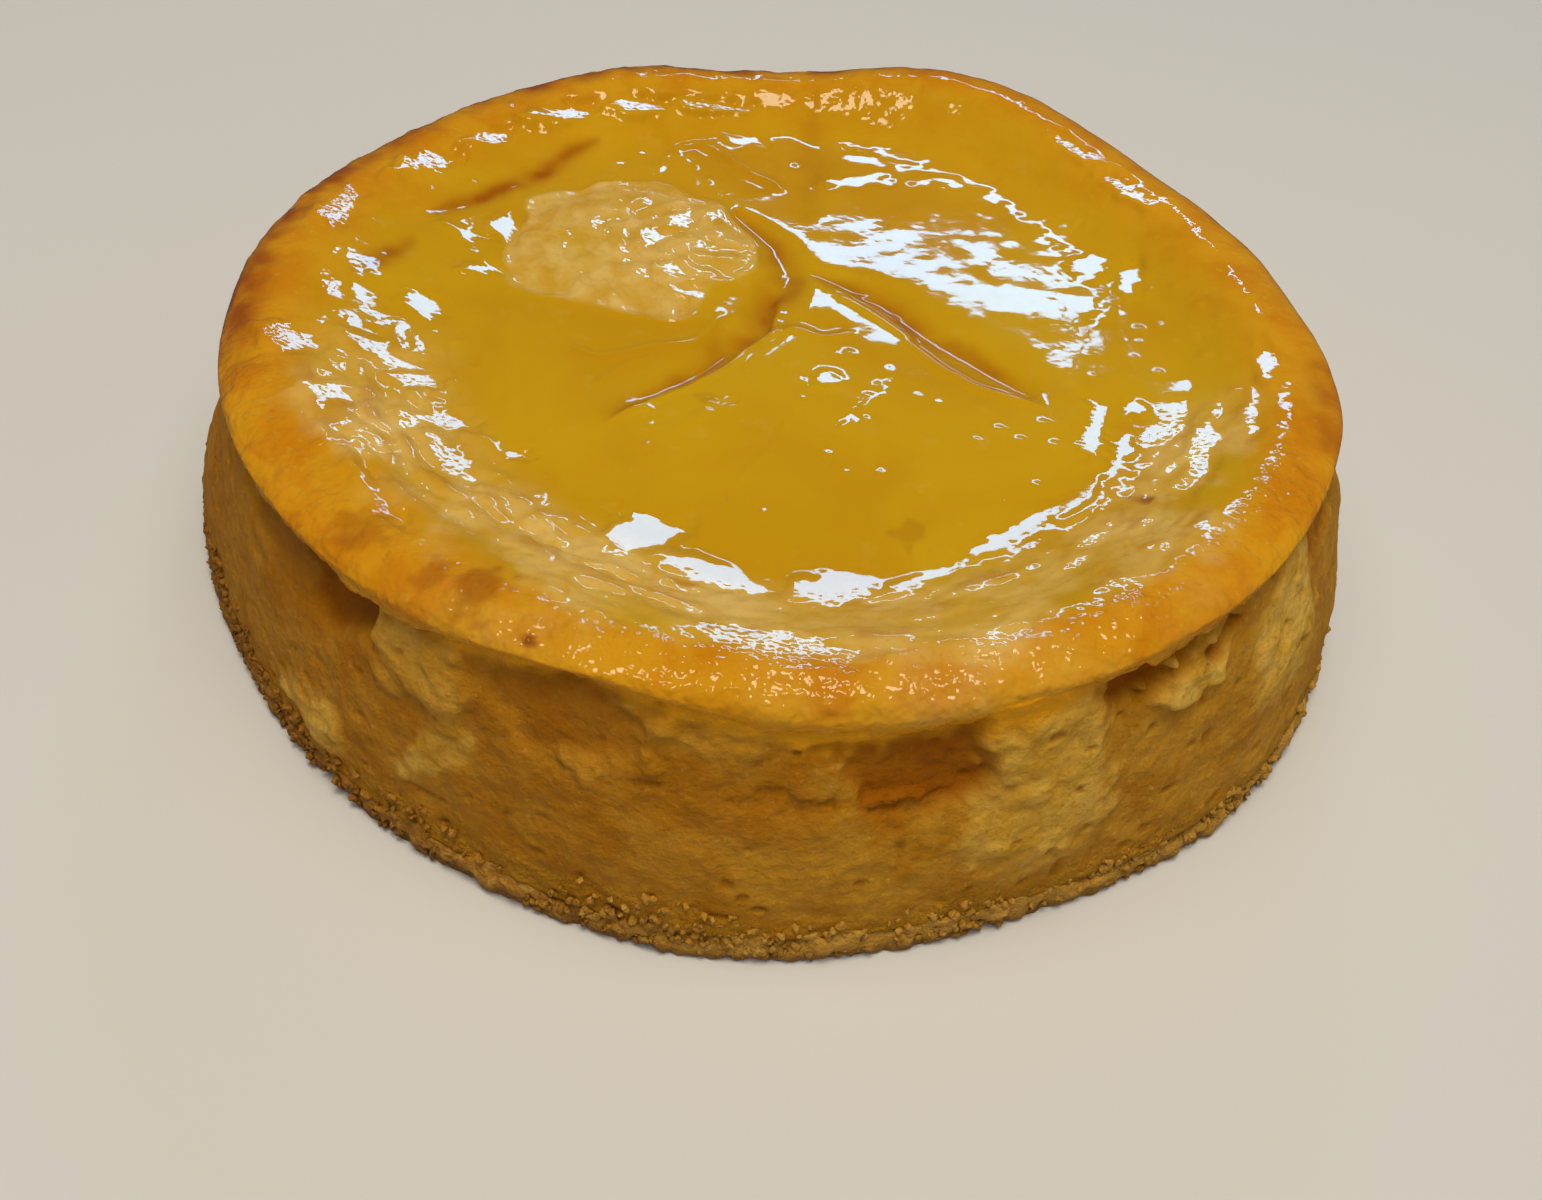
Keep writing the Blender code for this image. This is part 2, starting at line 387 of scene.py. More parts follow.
def newGroup(name, kind, inputs, outputs):
    # node group with named inputs (label, kind, value) and outputs (label, kind)
    tree = bpy.data.node_groups.new(name, kind)
    identifiers = {}
    for label, socketKind, value in inputs:
        socket = tree.interface.new_socket(label, in_out="INPUT",
                                           socket_type="NodeSocket" + socketKind)
        if value is not None:
            socket.default_value = value
        identifiers[label] = socket.identifier
    for label, socketKind in outputs:
        tree.interface.new_socket(label, in_out="OUTPUT", socket_type="NodeSocket" + socketKind)
    inside, outside = newNode(tree, "NodeGroupInput"), newNode(tree, "NodeGroupOutput")
    return tree, inside.outputs, outside, identifiers


def noiseNode(tree, vector, scale, detail=3.0, roughness=0.55, warp=0.0):
    return newNode(tree, "ShaderNodeTexNoise", {
        "Vector": vector, "Scale": scale, "Detail": detail, "Roughness": roughness,
        "Distortion": warp}).outputs["Fac"]


def mathNode(tree, operation, first, second):
    inputs = {0: first, 1: second}
    return newNode(tree, "ShaderNodeMath", inputs, operation=operation).outputs[0]


def rangeNode(tree, value, low, high, toLow=0.0, toHigh=1.0):
    return newNode(tree, "ShaderNodeMapRange", {
        "Value": value, "From Min": low, "From Max": high, "To Min": toLow, "To Max": toHigh,
    }, interpolation_type="SMOOTHSTEP").outputs["Result"]


def mixColour(tree, factor, first, second):
    inputs = {0: factor, 6: first, 7: second}
    return newNode(tree, "ShaderNodeMix", inputs, data_type="RGBA", clamp_factor=True).outputs[2]


def maskNode(tree, name):
    return newNode(tree, "ShaderNodeAttribute", attribute_name=name).outputs["Fac"]


def bumpNode(tree, height, distance, strength=1.0, normal=None):
    return newNode(tree, "ShaderNodeBump", {
        "Height": height, "Distance": distance, "Strength": strength, "Normal": normal,
    }).outputs["Normal"]


def buildGrainGroup():
    # fine uneven surface: a height for Bump and a spotty mask
    tree, inside, outside, _ = newGroup(
        "surfaceGrain", "ShaderNodeTree",
        (("Vector", "Vector", None), ("Grain Size", "Float", 0.001), ("Lump Share", "Float", 0.5),
         ("Fineness", "Float", 3.0), ("Blister Share", "Float", 0.0)),
        (("Height", "Float"), ("Spots", "Float")))
    place = inside["Vector"]
    scale = mathNode(tree, "DIVIDE", 1.0, inside["Grain Size"])
    fine = noiseNode(tree, place, scale, inside["Fineness"], 0.6)
    lumps = noiseNode(tree, place, mathNode(tree, "MULTIPLY", scale, 0.37), detail=2.0)
    lumps = mathNode(tree, "MULTIPLY", lumps, inside["Lump Share"])
    cells = newNode(tree, "ShaderNodeTexVoronoi", feature="SMOOTH_F1")
    feedInputs(tree, cells, {
        "Vector": place, "Scale": mathNode(tree, "MULTIPLY", scale, 0.8), "Smoothness": 0.5})
    domes = mathNode(tree, "MULTIPLY", cells.outputs["Distance"], inside["Blister Share"])
    feedInputs(tree, outside, {
        "Height": mathNode(tree, "SUBTRACT", mathNode(tree, "ADD", fine, lumps), domes),
        "Spots": rangeNode(tree, fine, 0.50, 0.66)})
    return tree


def buildMottleGroup():
    # two colours mixed in uneven clouds with a third in small flecks
    tree, inside, outside, _ = newGroup(
        "mottledColour", "ShaderNodeTree",
        (("Vector", "Vector", None), ("Cloud Size", "Float", 0.01), ("Base", "Color", None),
         ("Cloud", "Color", None), ("Fleck", "Color", None), ("Cloud Amount", "Float", 0.5),
         ("Fleck Amount", "Float", 0.3)),
        (("Color", "Color"),))
    place = inside["Vector"]
    scale = mathNode(tree, "DIVIDE", 1.0, inside["Cloud Size"])
    clouds = rangeNode(tree, noiseNode(tree, place, scale, warp=0.6), 0.35, 0.68)
    clouds = mathNode(tree, "MULTIPLY", clouds, inside["Cloud Amount"])
    fine = mathNode(tree, "MULTIPLY", scale, 7.0)
    flecks = rangeNode(tree, noiseNode(tree, place, fine), 0.60, 0.70)
    flecks = mathNode(tree, "MULTIPLY", flecks, inside["Fleck Amount"])
    blend = mixColour(tree, clouds, inside["Base"], inside["Cloud"])
    feedInputs(tree, outside, {"Color": mixColour(tree, flecks, blend, inside["Fleck"])})
    return tree


grainGroup = buildGrainGroup()
mottleGroup = buildMottleGroup()


def newMaterial(name):
    material = bpy.data.materials.new(name)
    material.use_nodes = True
    tree = material.node_tree
    place = newNode(tree, "ShaderNodeTexCoord").outputs["Object"]
    return material, tree, tree.nodes["Principled BSDF"], place


def grainNode(tree, place, size, lumps, fineness, blisters=0.0):
    return newNode(tree, "ShaderNodeGroup", {
        "Vector": place, "Grain Size": size, "Lump Share": lumps, "Fineness": fineness,
        "Blister Share": blisters}, node_tree=grainGroup).outputs


def mottleNode(tree, place, size, base, cloud, fleck, clouds, flecks):
    return newNode(tree, "ShaderNodeGroup", {
        "Vector": place, "Cloud Size": size, "Base": base, "Cloud": cloud, "Fleck": fleck,
        "Cloud Amount": clouds, "Fleck Amount": flecks}, node_tree=mottleGroup).outputs["Color"]


# The glazed top: pool, cracks, wrinkled island, rolling rim and ragged lip
glazedTop = {
    "segments": 768,
    "fewest": 24,               # points in the innermost rows
    "firstThinning": 0.72,      # the rows halve their points from this share of the pool inward
    "spacing": 0.00064,
    "shoulderLength": 0.0110,
    "lipRows": 8,
    "slopeStretch": 1.12,       # length of the slope for its run
    # the rows on its underside: how each is made, how many points, and where
    "hiddenRows": (
        (poolRow, 48, 0.92), (poolRow, 48, 0.7), (poolRow, 96, 0.4), (poolRow, 192, 0.0),
        (slopeRow, 192, 0.5), (slopeRow, 384, 0.0), (shoulderRow, 384, 45), (shoulderRow, 768, 20),
        (shoulderRow, 768, 0),
    ),
    "thickness": 0.0018,
    "clearOverhang": (0.0010, 0.0018),      # over this much the lip stands clear of the wall
    "ledgeTuck": 0.0003,        # how far the lip's lower edge draws in where it stands clear
    "softTuck": 0.0007,         # and past the wall's face where it doesn't
    "poolWaves": ((0.012, 0.00007), (0.006, 0.00003), (0.003, 0.000012)),
    "rimWaves": ((0.013, 0.00026), (0.0065, 0.00012), (0.003, 0.00004)),
    # each with its size and its height
    "combWaves": (0.0088, 0.000016),
    "edgeRipples": (0.0065, 0.00016),
    "poolRipples": (0.0032, 0.000014),
    "slopeWrinkles": (0.0022, 0.00042),
    "fineWrinkles": (0.0012, 0.5),              # the height is a share of the larger ones
    "crestStreaks": (0.0019, 0.00006),
    "lipPimples": (0.0046, 0.00026),
    "islandWrinkles": (0.0040, 0.00042),
    "edgeLobes": (0.0075, 0.0012),
    "edgeTatters": (0.0026, 0.0013),
    "edgeBumps": ((0.0035, 0.0004), (0.0014, 0.00025)),
    "glintBends": (0.0034, 0.0011),
    "foldWobble": (0.003, 0.0003),
    "islandWobble": (0.0055, 0.0018),
    "islandSwirl": (0.006, 0.0028),
    "crackWobble": (0.007, 0.0012),
    "islandBorder": 0.00032,
    "bubbleSizes": (0.7, 1.4),                  # millimetres
    "bubbleRise": 0.16,
    "glintEdge": (0.85, 1.5),                   # a glint fades between these shares of its size
    "glintReach": 1.8,
    "amber": (0.62, 0.355, 0.006),
    "amberDeep": (0.55, 0.260, 0.002),
    "browned": (0.70, 0.325, 0.009),
    "brownedDeep": (0.58, 0.175, 0.001),
    "pale": (0.82, 0.56, 0.180),
    "paleDeep": (0.66, 0.36, 0.024),
    # dark red-brown of the cracks' stains, and painted shade in the crack valleys, behind the
    # folds and along the island's wrinkles
    "stainAndShadeColour": (0.38, 0.105, 0.001),
    "crumbEdge": (0.76, 0.330, 0.006),
    "burntEdge": (0.36, 0.085, 0.003),
    "scorch": (0.26, 0.050, 0.004),
    "backBrowning": 0.30,
    "slopeSpread": 0.78,        # share of the slope that is wrinkled and milky in front
    "crumbledFrom": (0.42, 0.82),           # the lip is crumbly from this share of its height down
    # darker lines on the front wrinkles, and painted shading lines on the island
    "wrinkleStainAndShade": 0.35,
    "darkestFold": 0.0008,      # a fold whose sheet sinks this far has the full painted shade
    "poolDimples": 0.022,
    "rimDimples": 0.045,
    "lipDimples": 0.85,
    "glintCalm": 0.45,
    "glintFroth": 0.3,
    "glazeRoughness": 0.045,
    "dryness": 0.30,            # how much rougher the crumbly lower edge is
    "mirror": 0.36,
    "grainSize": 0.0016,
    "grainDepth": 0.0006,
}
# Parts of the top round the cake: middle, half width and fade, in degrees
topSectors = {
    "frontSlope": (-90, 64, 24),
    "wideSlope": (-72, 24, 20),
    "narrowSlope": (-34, 18, 12),
    "leftFolds": (-138, 26, 14),
    "frontLip": (-96, 66, 26),
    "backLip": (138, 42, 16),
    "farLip": (84, 24, 14),
    "rightLip": (0, 26, 20),
    "paleLip": (-82, 28, 18),
    "wholeLeftEdge": (-156, 32, 12),
    "wholeRightEdge": (-14, 34, 14),
    "frayedEdge": (-114, 14, 8),
    "burntBack": (138, 48, 20),
    "burntRight": (-10, 6, 4),
}
# Where the glaze is tilted so that it mirrors the window, in millimetres:
# x, y, half length, half width, and how far it is turned in degrees
glints = (
    (-79, -18, 5, 3.4, -15), (-69.5, -12, 3, 2.4, -25), (-64, -17, 8, 2.5, -19),
    (-58.5, -21.5, 4, 1.8, 20), (-69, -30.5, 4.5, 2.8, 5), (-53.5, -32, 5.2, 3.4, 10),
    (-49, -40, 7.2, 2.5, -50), (-42, -35, 5, 1.2, -15), (-61, -1, 3.5, 3, -25),
    (-71.5, -1, 2.2, 2, 0), (-52.5, 24.5, 4.2, 2.6, 90), (-58, 21.5, 4.3, 1.6, 0),
    (-53.5, 11, 3.6, 1.5, 20), (9.5, 51, 6, 2, 10), (-12.5, 63, 4, 1.4, 5),
    (52.2, 28.4, 3.6, 2.8, 80), (59, 25, 4.8, 1.8, 85), (53.5, 14, 3.2, 1.4, 60),
    (50, -17.5, 8, 2, 85), (57, -12, 2, 1.8, 0), (53.5, -24, 5.4, 1.8, 75),
    (65.5, -25.5, 11, 2, 75), (78, -4, 5.2, 1.4, 85), (74, -17, 7.4, 1.1, 80),
    (-18, -51.5, 6.4, 3.8, 35), (-7.5, -59.5, 8.6, 3.2, -10), (10.5, -60, 6.2, 4, 15),
    (1, -76.5, 12, 3.6, -6), (33.5, -73, 6.6, 1.6, 15), (24, -55, 8.8, 1.3, 35),
    (36, -44.5, 9.8, 1.7, 45), (-25.5, 26, 4.5, 2.4, 55), (-21.5, 15, 2.8, 1.8, -10),
    (-18, 8.5, 3, 1.4, 0), (-21.5, 31, 3.4, 2.2, 50), (7.2, -11.2, 2.8, 1.8, 40),
    (10.4, -3.8, 1.4, 0.9, 10), (15, -13.5, 4.6, 0.9, 70), (11.2, -21.5, 3, 0.9, 60),
    (-10, -19, 2.2, 0.7, 15),
)
# Where it does so in a froth of small bubbles
frothyGlints = (
    (-63.2, -45, 6.5, 1.5, -40), (-57, -53, 8.5, 1.3, -47), (-60, -40, 4.6, 1.2, -30),
    (-80.3, 20.8, 7, 2.8, 75), (-69.2, 38.5, 8, 2.6, 50), (-60, 49, 6, 1.8, 45),
    (-48, 59, 7.5, 2.2, 35), (-33, 65.5, 7, 1.7, 20), (-18, 70, 7, 1.5, 10),
    (51.4, 57.7, 7.5, 1.8, -45), (60, 45.5, 7, 2, -55),
)
# Scorched spots: x, y, z and radius in millimetres, strength
scorches = (
    (20.8, -46.5, 42, 3, 0.25), (56.2, -36.8, 43, 2.6, 0.75), (-30, -80.6, 49, 1.3, 0.85),
    (2.1, -87.3, 42.4, 1, 0.7), (-38.5, -72.2, 49, 4.6, 0.5), (-57.5, -61.8, 47.5, 4.6, 0.38),
    (-45, -70, 48.8, 2.8, 0.35), (-12, -19, 41, 2.2, 0.15),
)
# Folds of the skin, in millimetres: a sharp raised line, with the sheet sunk on the side
# that "behind" names (1 is left of the line's travel)
folds = (
    dict(line=((-27.9, -27.9), (-22.3, -21.9), (-15.2, -16.2), (-10, -10.5), (-6.4, -4.4),
               (-2.8, 0.9), (-2.3, 6.4), (-0.7, 15.5)),
         rise=0.55, width=0.75, drop=0.8, behind=1, reach=2.2),
    dict(line=((5.6, 14.6), (10.4, 11.2), (19.2, 3.5), (20.7, 0.2), (25.5, -5.2), (30.3, -9),
               (35.8, -11.5), (43, -13.6)), rise=0.5, width=0.85, drop=0.6, behind=1, reach=2.2),
    dict(line=((-2.4, 0.5), (0.8, 2.1), (6.4, 0.4), (11.2, 2.8)),
         rise=0.3, width=0.7, drop=0.3, behind=1, reach=1.5),
    dict(line=((-25.9, 53.6), (-22.7, 59.1), (-17.8, 58.5), (-12.1, 52.3), (-5.7, 47.9),
               (-4.1, 44.4)), rise=0.35, width=0.9, drop=0.2, behind=-1, reach=2),
    dict(line=((10, 13.8), (15, 14.6), (21.6, 12)),
         rise=0.2, width=0.5, drop=0.1, behind=1, reach=1),
    dict(line=((11, 11.7), (15, 9.6), (19, 9)), rise=0.16, width=0.5, drop=0.1, behind=1, reach=1),
    dict(line=((-37, -7.5), (-30, -10), (-22, -6), (-15, -3), (-11, 6)),
         rise=0.3, width=1, drop=0.2, behind=-1, reach=2),
    dict(line=((-30, -18), (-27, -13), (-20, -7)),
         rise=0.22, width=0.9, drop=0.1, behind=-1, reach=2),
)
# The island seen from above, in millimetres
islandOutline = (
    (-50.1, 34.6), (-40.4, 40.2), (-30.7, 44.2), (-21.8, 41.4), (-12.9, 36.9), (-8.1, 24.9),
    (-8, 18.2), (-12, 11.6), (-16.8, 3.3), (-28.1, 1.9), (-41.8, 5.6), (-49.9, 8.3), (-50.1, 34.6),
)
# Runs of glaze that stand a little proud: line, half width, height, in millimetres
glazeRuns = (
    (((17.1, -5.6), (15.9, -13), (12, -20), (9.5, -24.4)), 1, 0.18),
    (((4, -15.3), (1.5, -22), (-0.8, -29.2), (-7.2, -41.4)), 1, 0.14),
    (((-11.2, -20.8), (-15, -25.5), (-18.3, -29.7)), 1.6, 0.2),
    (((50.9, -10.8), (49.5, -18), (47.7, -25.6)), 1.7, 0.3),
    (((54.8, -21.5), (51.5, -29), (48.4, -37), (43, -42)), 1.2, 0.25),
)
# Drops and burst bubbles: x, y, radius, height, in millimetres
glazeDrops = (
    (7.2, -11.2, 3.4, 0.4), (10.4, -3.8, 1.6, 0.22), (15.4, -12, 1.4, 0.22),
    (-8.8, -19.6, 1.6, 0.18), (7.9, -30.1, 1, 0.18), (4.4, -37.4, 0.8, 0.12),
    (35, -20.2, 1.2, 0.18), (22.7, -21.1, 0.6, 0.1), (25.1, -14.7, 0.6, 0.1),
    (43.7, -23.1, 1.6, 0.22), (56.9, -11.6, 1.8, 0.26), (51.4, -3.8, 1, 0.14),
    (50.9, 2, 0.8, 0.12),
)
# Fields of small bubbles: middle and half width in degrees, from and to how many millimetres
# out from the middle, how many bubbles
bubbleFields = (
    (14, 26, 58, 82, 46), (150, 40, 50, 80, 26), (-150, 30, 50, 78, 14), (-75, 60, 20, 54, 16),
    (70, 40, 50, 74, 10),
)


def topRows():
    segments, spacing, inset = glazedTop["segments"], glazedTop["spacing"], glazedTop["thickness"]
    fine = evenAngles(segments)
    rows = []
    for makeRow, count, where in glazedTop["hiddenRows"]:
        rows.append(makeRow(evenAngles(count), where, inset))
    o = outlines(fine)
    ledge = easeBetween(*glazedTop["clearOverhang"], o["overhang"])
    tuck = glazedTop["ledgeTuck"] * ledge + (o["overhang"] + glazedTop["softTuck"]) * (1 - ledge)
    half = inset / 2
    for arc in range(0, 181, 30):
        turn = math.radians(arc)
        radius = o["lip"] - tuck - half - half * math.cos(turn)
        rows.append(ringRow(fine, radius, o["edge"] + half - half * math.sin(turn)))
    for step in range(1, glazedTop["lipRows"]):
        share = step / glazedTop["lipRows"]
        height = o["edge"] + half + (o["belly"] - o["edge"] - half) * share
        rows.append(ringRow(fine, o["lip"] - tuck * (1 - share) ** 2, height))
    shoulderRows = round(glazedTop["shoulderLength"] / spacing)
    for step in range(shoulderRows):
        rows.append(shoulderRow(fine, 90 * step / shoulderRows, 0))
    run = float(np.mean(o["crestRadius"] - o["pool"])) * glazedTop["slopeStretch"]
    slopeRows = round(run / spacing)
    for step in range(slopeRows):
        rows.append(slopeRow(fine, step / slopeRows, 0))
    reach = float(np.mean(o["pool"]))
    poolRows = round(reach / spacing)
    count, limit = segments, reach * glazedTop["firstThinning"]
    for step in range(poolRows):
        share = step / poolRows
        if reach * (1 - share) < limit:
            count, limit = count // 2, limit / 2
        rows.append(poolRow(evenAngles(max(count, glazedTop["fewest"])), share, 0))
    return rows


def topPlace(points):
    # where each point of the top lies between the pool, the crest and the lip
    angles = anglesOf(points)
    radius = np.hypot(points[:, 0], points[:, 1])
    o = outlines(angles)
    return {
        "within": lambda name: aroundAngle(angles, *topSectors[name]),
        "angle": angles,
        "radius": radius,
        "slope": (radius - o["pool"]) / (o["crestRadius"] - o["pool"]),
        "inward": o["crestRadius"] - radius,
        "drop": (o["crest"] - points[:, 2]) / (o["crest"] - o["edge"]),
        "outline": o,
    }


def dropField(x, y, drops):
    height = np.zeros(len(x))
    for atX, atY, size, rise in metres(drops):
        near = np.clip(1 - ((x - atX) ** 2 + (y - atY) ** 2) / size ** 2, 0, 1)
        height += rise * near ** 1.5
    return height


def scatterBubbles():
    draw = np.random.default_rng(21)
    drops = []
    for middle, halfWidth, low, high, count in bubbleFields:
        for _ in range(count):
            turn = math.radians(middle + draw.uniform(-halfWidth, halfWidth))
            radius = draw.uniform(low, high)
            size = draw.uniform(*glazedTop["bubbleSizes"])
            drops.append((radius * math.cos(turn), radius * math.sin(turn), size,
                          size * glazedTop["bubbleRise"]))
    return drops


def islandField(x, y):
    outline = smoothLine(islandOutline)
    away = lineField(x, y, outline)[0]
    crossings = np.zeros(len(x), int)
    for (ax, ay), (bx, by) in zip(outline, outline[1:]):
        spans = (ay > y) != (by > y)
        rise = by - ay if by != ay else 1e-12
        crossings += spans & (x < ax + (bx - ax) * (y - ay) / rise)
    return away * np.where(crossings % 2, 1, -1)


def mirrorLean(points):
    # rise along x and y of a skin that shows the window light to the camera
    middle = np.zeros(points.shape)
    for place in (photoView["place"], lightPlace(studioLights["windowLight"])):
        ray = np.array(place) - points
        middle += ray / np.linalg.norm(ray, axis=1)[:, None]
    return -middle[:, :2] / middle[:, 2:]


def layGlints(points, onTop):
    lean, calm = mirrorLean(points), np.zeros(len(points))
    flat = points * (1, 1, 0)
    bend = [bumps(flat, glazedTop["glintBends"], seed, 3, 0.65) for seed in (58, 66)]
    bend = np.stack(bend, axis=1)
    for number, (*sizes, turn) in enumerate(glints + frothyGlints):
        x, y, halfLength, halfWidth = metres(sizes)
        offset = points[:, :2] - (x, y)
        close = np.hypot(*offset.T) < glazedTop["glintReach"] * halfLength + 0.001
        near = np.nonzero(close & (onTop > 0.5))[0]
        offset = offset[near]
        centre = near[np.argmin(np.hypot(*offset.T))]
        cos, sin = math.cos(math.radians(turn)), math.sin(math.radians(turn))
        bent = offset + bend[near]
        along = (bent[:, 0] * cos + bent[:, 1] * sin) / halfLength
        across = (bent[:, 1] * cos - bent[:, 0] * sin) / halfWidth
        weight = 1 - easeBetween(*glazedTop["glintEdge"], np.hypot(along, across))
        aim = (offset * (lean[near] + lean[centre]) / 2).sum(axis=1)
        change = aim - points[near, 2]
        change -= np.average(change, weights=weight + 1e-9)
        points[near, 2] += weight * change
        ease = glazedTop["glintCalm"] if number < len(glints) else -glazedTop["glintFroth"]
        calm[near] += (ease - calm[near]) * weight
    return points, calm


def addFolds(points, relief):
    # raised folds and runs of glaze; gives back the relief and the painted shade behind the folds
    look, shade = glazedTop, np.zeros(len(points))
    placeX, placeY = wobbled(points, look["foldWobble"], 61, 62)
    for fold in folds:
        sizes = [fold[key] for key in ("rise", "width", "drop", "reach")]
        rise, width, drop, reach = metres(sizes)
        away, side, along = lineField(placeX, placeY, smoothLine(fold["line"]))
        ends = easeBetween(0, 0.12, along) * (1 - easeBetween(0.9, 1, along))
        behind = np.where(side == fold["behind"], away, -away)
        relief += rise * hump(away, width) * ends
        sunk = np.clip(behind - width, 0, None) / reach
        relief -= drop * sunk * np.exp(1 - sunk) * ends * easeBetween(0.0, 0.4, along)
        # painted shade on the sunk sheet behind each fold
        dark = easeBetween(-0.0001, 0.0005, behind) * np.exp(-abs(behind) / reach)
        shade = np.maximum(shade, drop / look["darkestFold"] * dark * ends)
    beads = 0.7 + 0.3 * softNoise(points * (1, 1, 0), 0.0022, 63)
    for line, *sizes in glazeRuns:
        halfWidth, height = metres(sizes)
        away, _, along = lineField(placeX, placeY, smoothLine(line))
        ends = easeBetween(0, 0.1, along) * (1 - easeBetween(0.9, 1, along))
        relief += height * np.clip(1 - (away / halfWidth) ** 2, 0, 1) * beads * ends
    return relief, shade


def shapeTop(mesh):
    look = glazedTop
    points, normals = meshPoints(mesh), meshPoints(mesh, "normal")
    place = topPlace(points)
    x, y = points[:, 0], points[:, 1]
    angle, slope, within = place["angle"], place["slope"], place["within"]
    rim = easeBetween(0.05, 0.5, slope)
    onTop = easeBetween(0.2, 0.5, normals[:, 2])
    flat = points * (1, 1, 0)
    polar = ringRow(angle, 0.075, place["radius"])

    relief = bumpsOfEach(flat, look["poolWaves"], 31) * (1 - rim)
    relief += bumpsOfEach(points, look["rimWaves"], 41) * rim
    right = easeBetween(0.0, 0.02, x) * easeBetween(-0.01, 0.01, y)
    relief += bumps(flat * (4.0, 1, 1), look["combWaves"], 47) * right
    poolEdge = hump(slope - 0.05, 0.25) * easeBetween(0.0, 0.03, y)
    relief += bumps(flat, look["edgeRipples"], 48, 3) * poolEdge
    farRight = easeBetween(-0.005, 0.01, x) * easeBetween(0.0, 0.015, y) * (1 - rim)
    relief += bumps(flat, look["poolRipples"], 50, 3) * farRight

    # the wrinkled milky slope in front, up to an uneven line below the crest
    spread = look["slopeSpread"] + 0.12 * within("wideSlope") - 0.16 * within("narrowSlope")
    spread += 0.20 * layeredNoise(flat, 0.009, 49)
    frontSlope = within("frontSlope") * easeBetween(0.15, 0.45, slope)
    frontSlope *= 1 - easeBetween(spread, spread + 0.25, slope)
    # wrinkles and streaks run round the cake, so they are drawn out along it
    warped = polar + softNoise(points, 0.009, 51)[:, None] * (0.0, 0.0, 0.0018)
    size, height = look["slopeWrinkles"]
    wrinkles = softNoise(warped * (0.22, 0.22, 1), size, 52)
    wrinkles += bumps(warped * (0.4, 0.4, 1), look["fineWrinkles"], 53)
    relief += wrinkles * height * frontSlope * (1 + 0.6 * within("leftFolds"))
    streaks = bumps(warped * (0.12, 0.12, 1), look["crestStreaks"], 54)
    relief += streaks * rim * (1 - frontSlope)
    frontLip = within("frontLip") * easeBetween(0.84, 1.05, slope)
    backLip = within("backLip") * easeBetween(0.85, 1.05, slope)
    backLip = np.maximum(backLip, 0.4 * within("farLip") * rim)
    relief += bumps(points, look["lipPimples"], 55, 3, 0.6) * np.maximum(frontLip, backLip)
    relief, foldShade = addFolds(points, relief)
    relief += dropField(x, y, glazeDrops) + dropField(x, y, scatterBubbles())

    inside = islandField(*wobbled(points, look["islandWobble"], 77, 78))
    island = easeBetween(-0.0004, 0.0012, inside)
    swirl = np.stack([*wobbled(points, look["islandSwirl"], 71, 72), np.zeros(len(x))], axis=1)
    size, height = look["islandWrinkles"]
    crumple = softNoise(swirl, size, 73) + 0.5 * softNoise(swirl, size / 2, 74)
    relief += crumple * height * island * (0.75 + 0.25 * easeBetween(-0.034, -0.020, x))
    relief += hump(inside - 0.0004, 0.0009) * look["islandBorder"]

    points = points + normals * relief[:, None] * onTop[:, None]
    points, calm = layGlints(points, onTop)
    lowEdge = easeBetween(0.55, 1.0, place["drop"]) * easeBetween(0.9, 1.1, slope)
    around = polar * (1.15, 1.15, 0)
    uneven = bumps(around, look["edgeLobes"], 81) + bumps(around, look["edgeTatters"], 82, 3)
    points[:, 2] += uneven * lowEdge
    outward = bumpsOfEach(points, look["edgeBumps"], 85) * lowEdge
    points += ringRow(angle, 1, 0) * outward[:, None]
    setPoints(mesh, points)
    paintTop(mesh, points, flat, {
        **place, "frontSlope": frontSlope, "frontLip": frontLip, "backLip": backLip,
        "wrinkles": wrinkles, "island": island, "crumple": crumple, "foldShade": foldShade,
        "calm": calm})


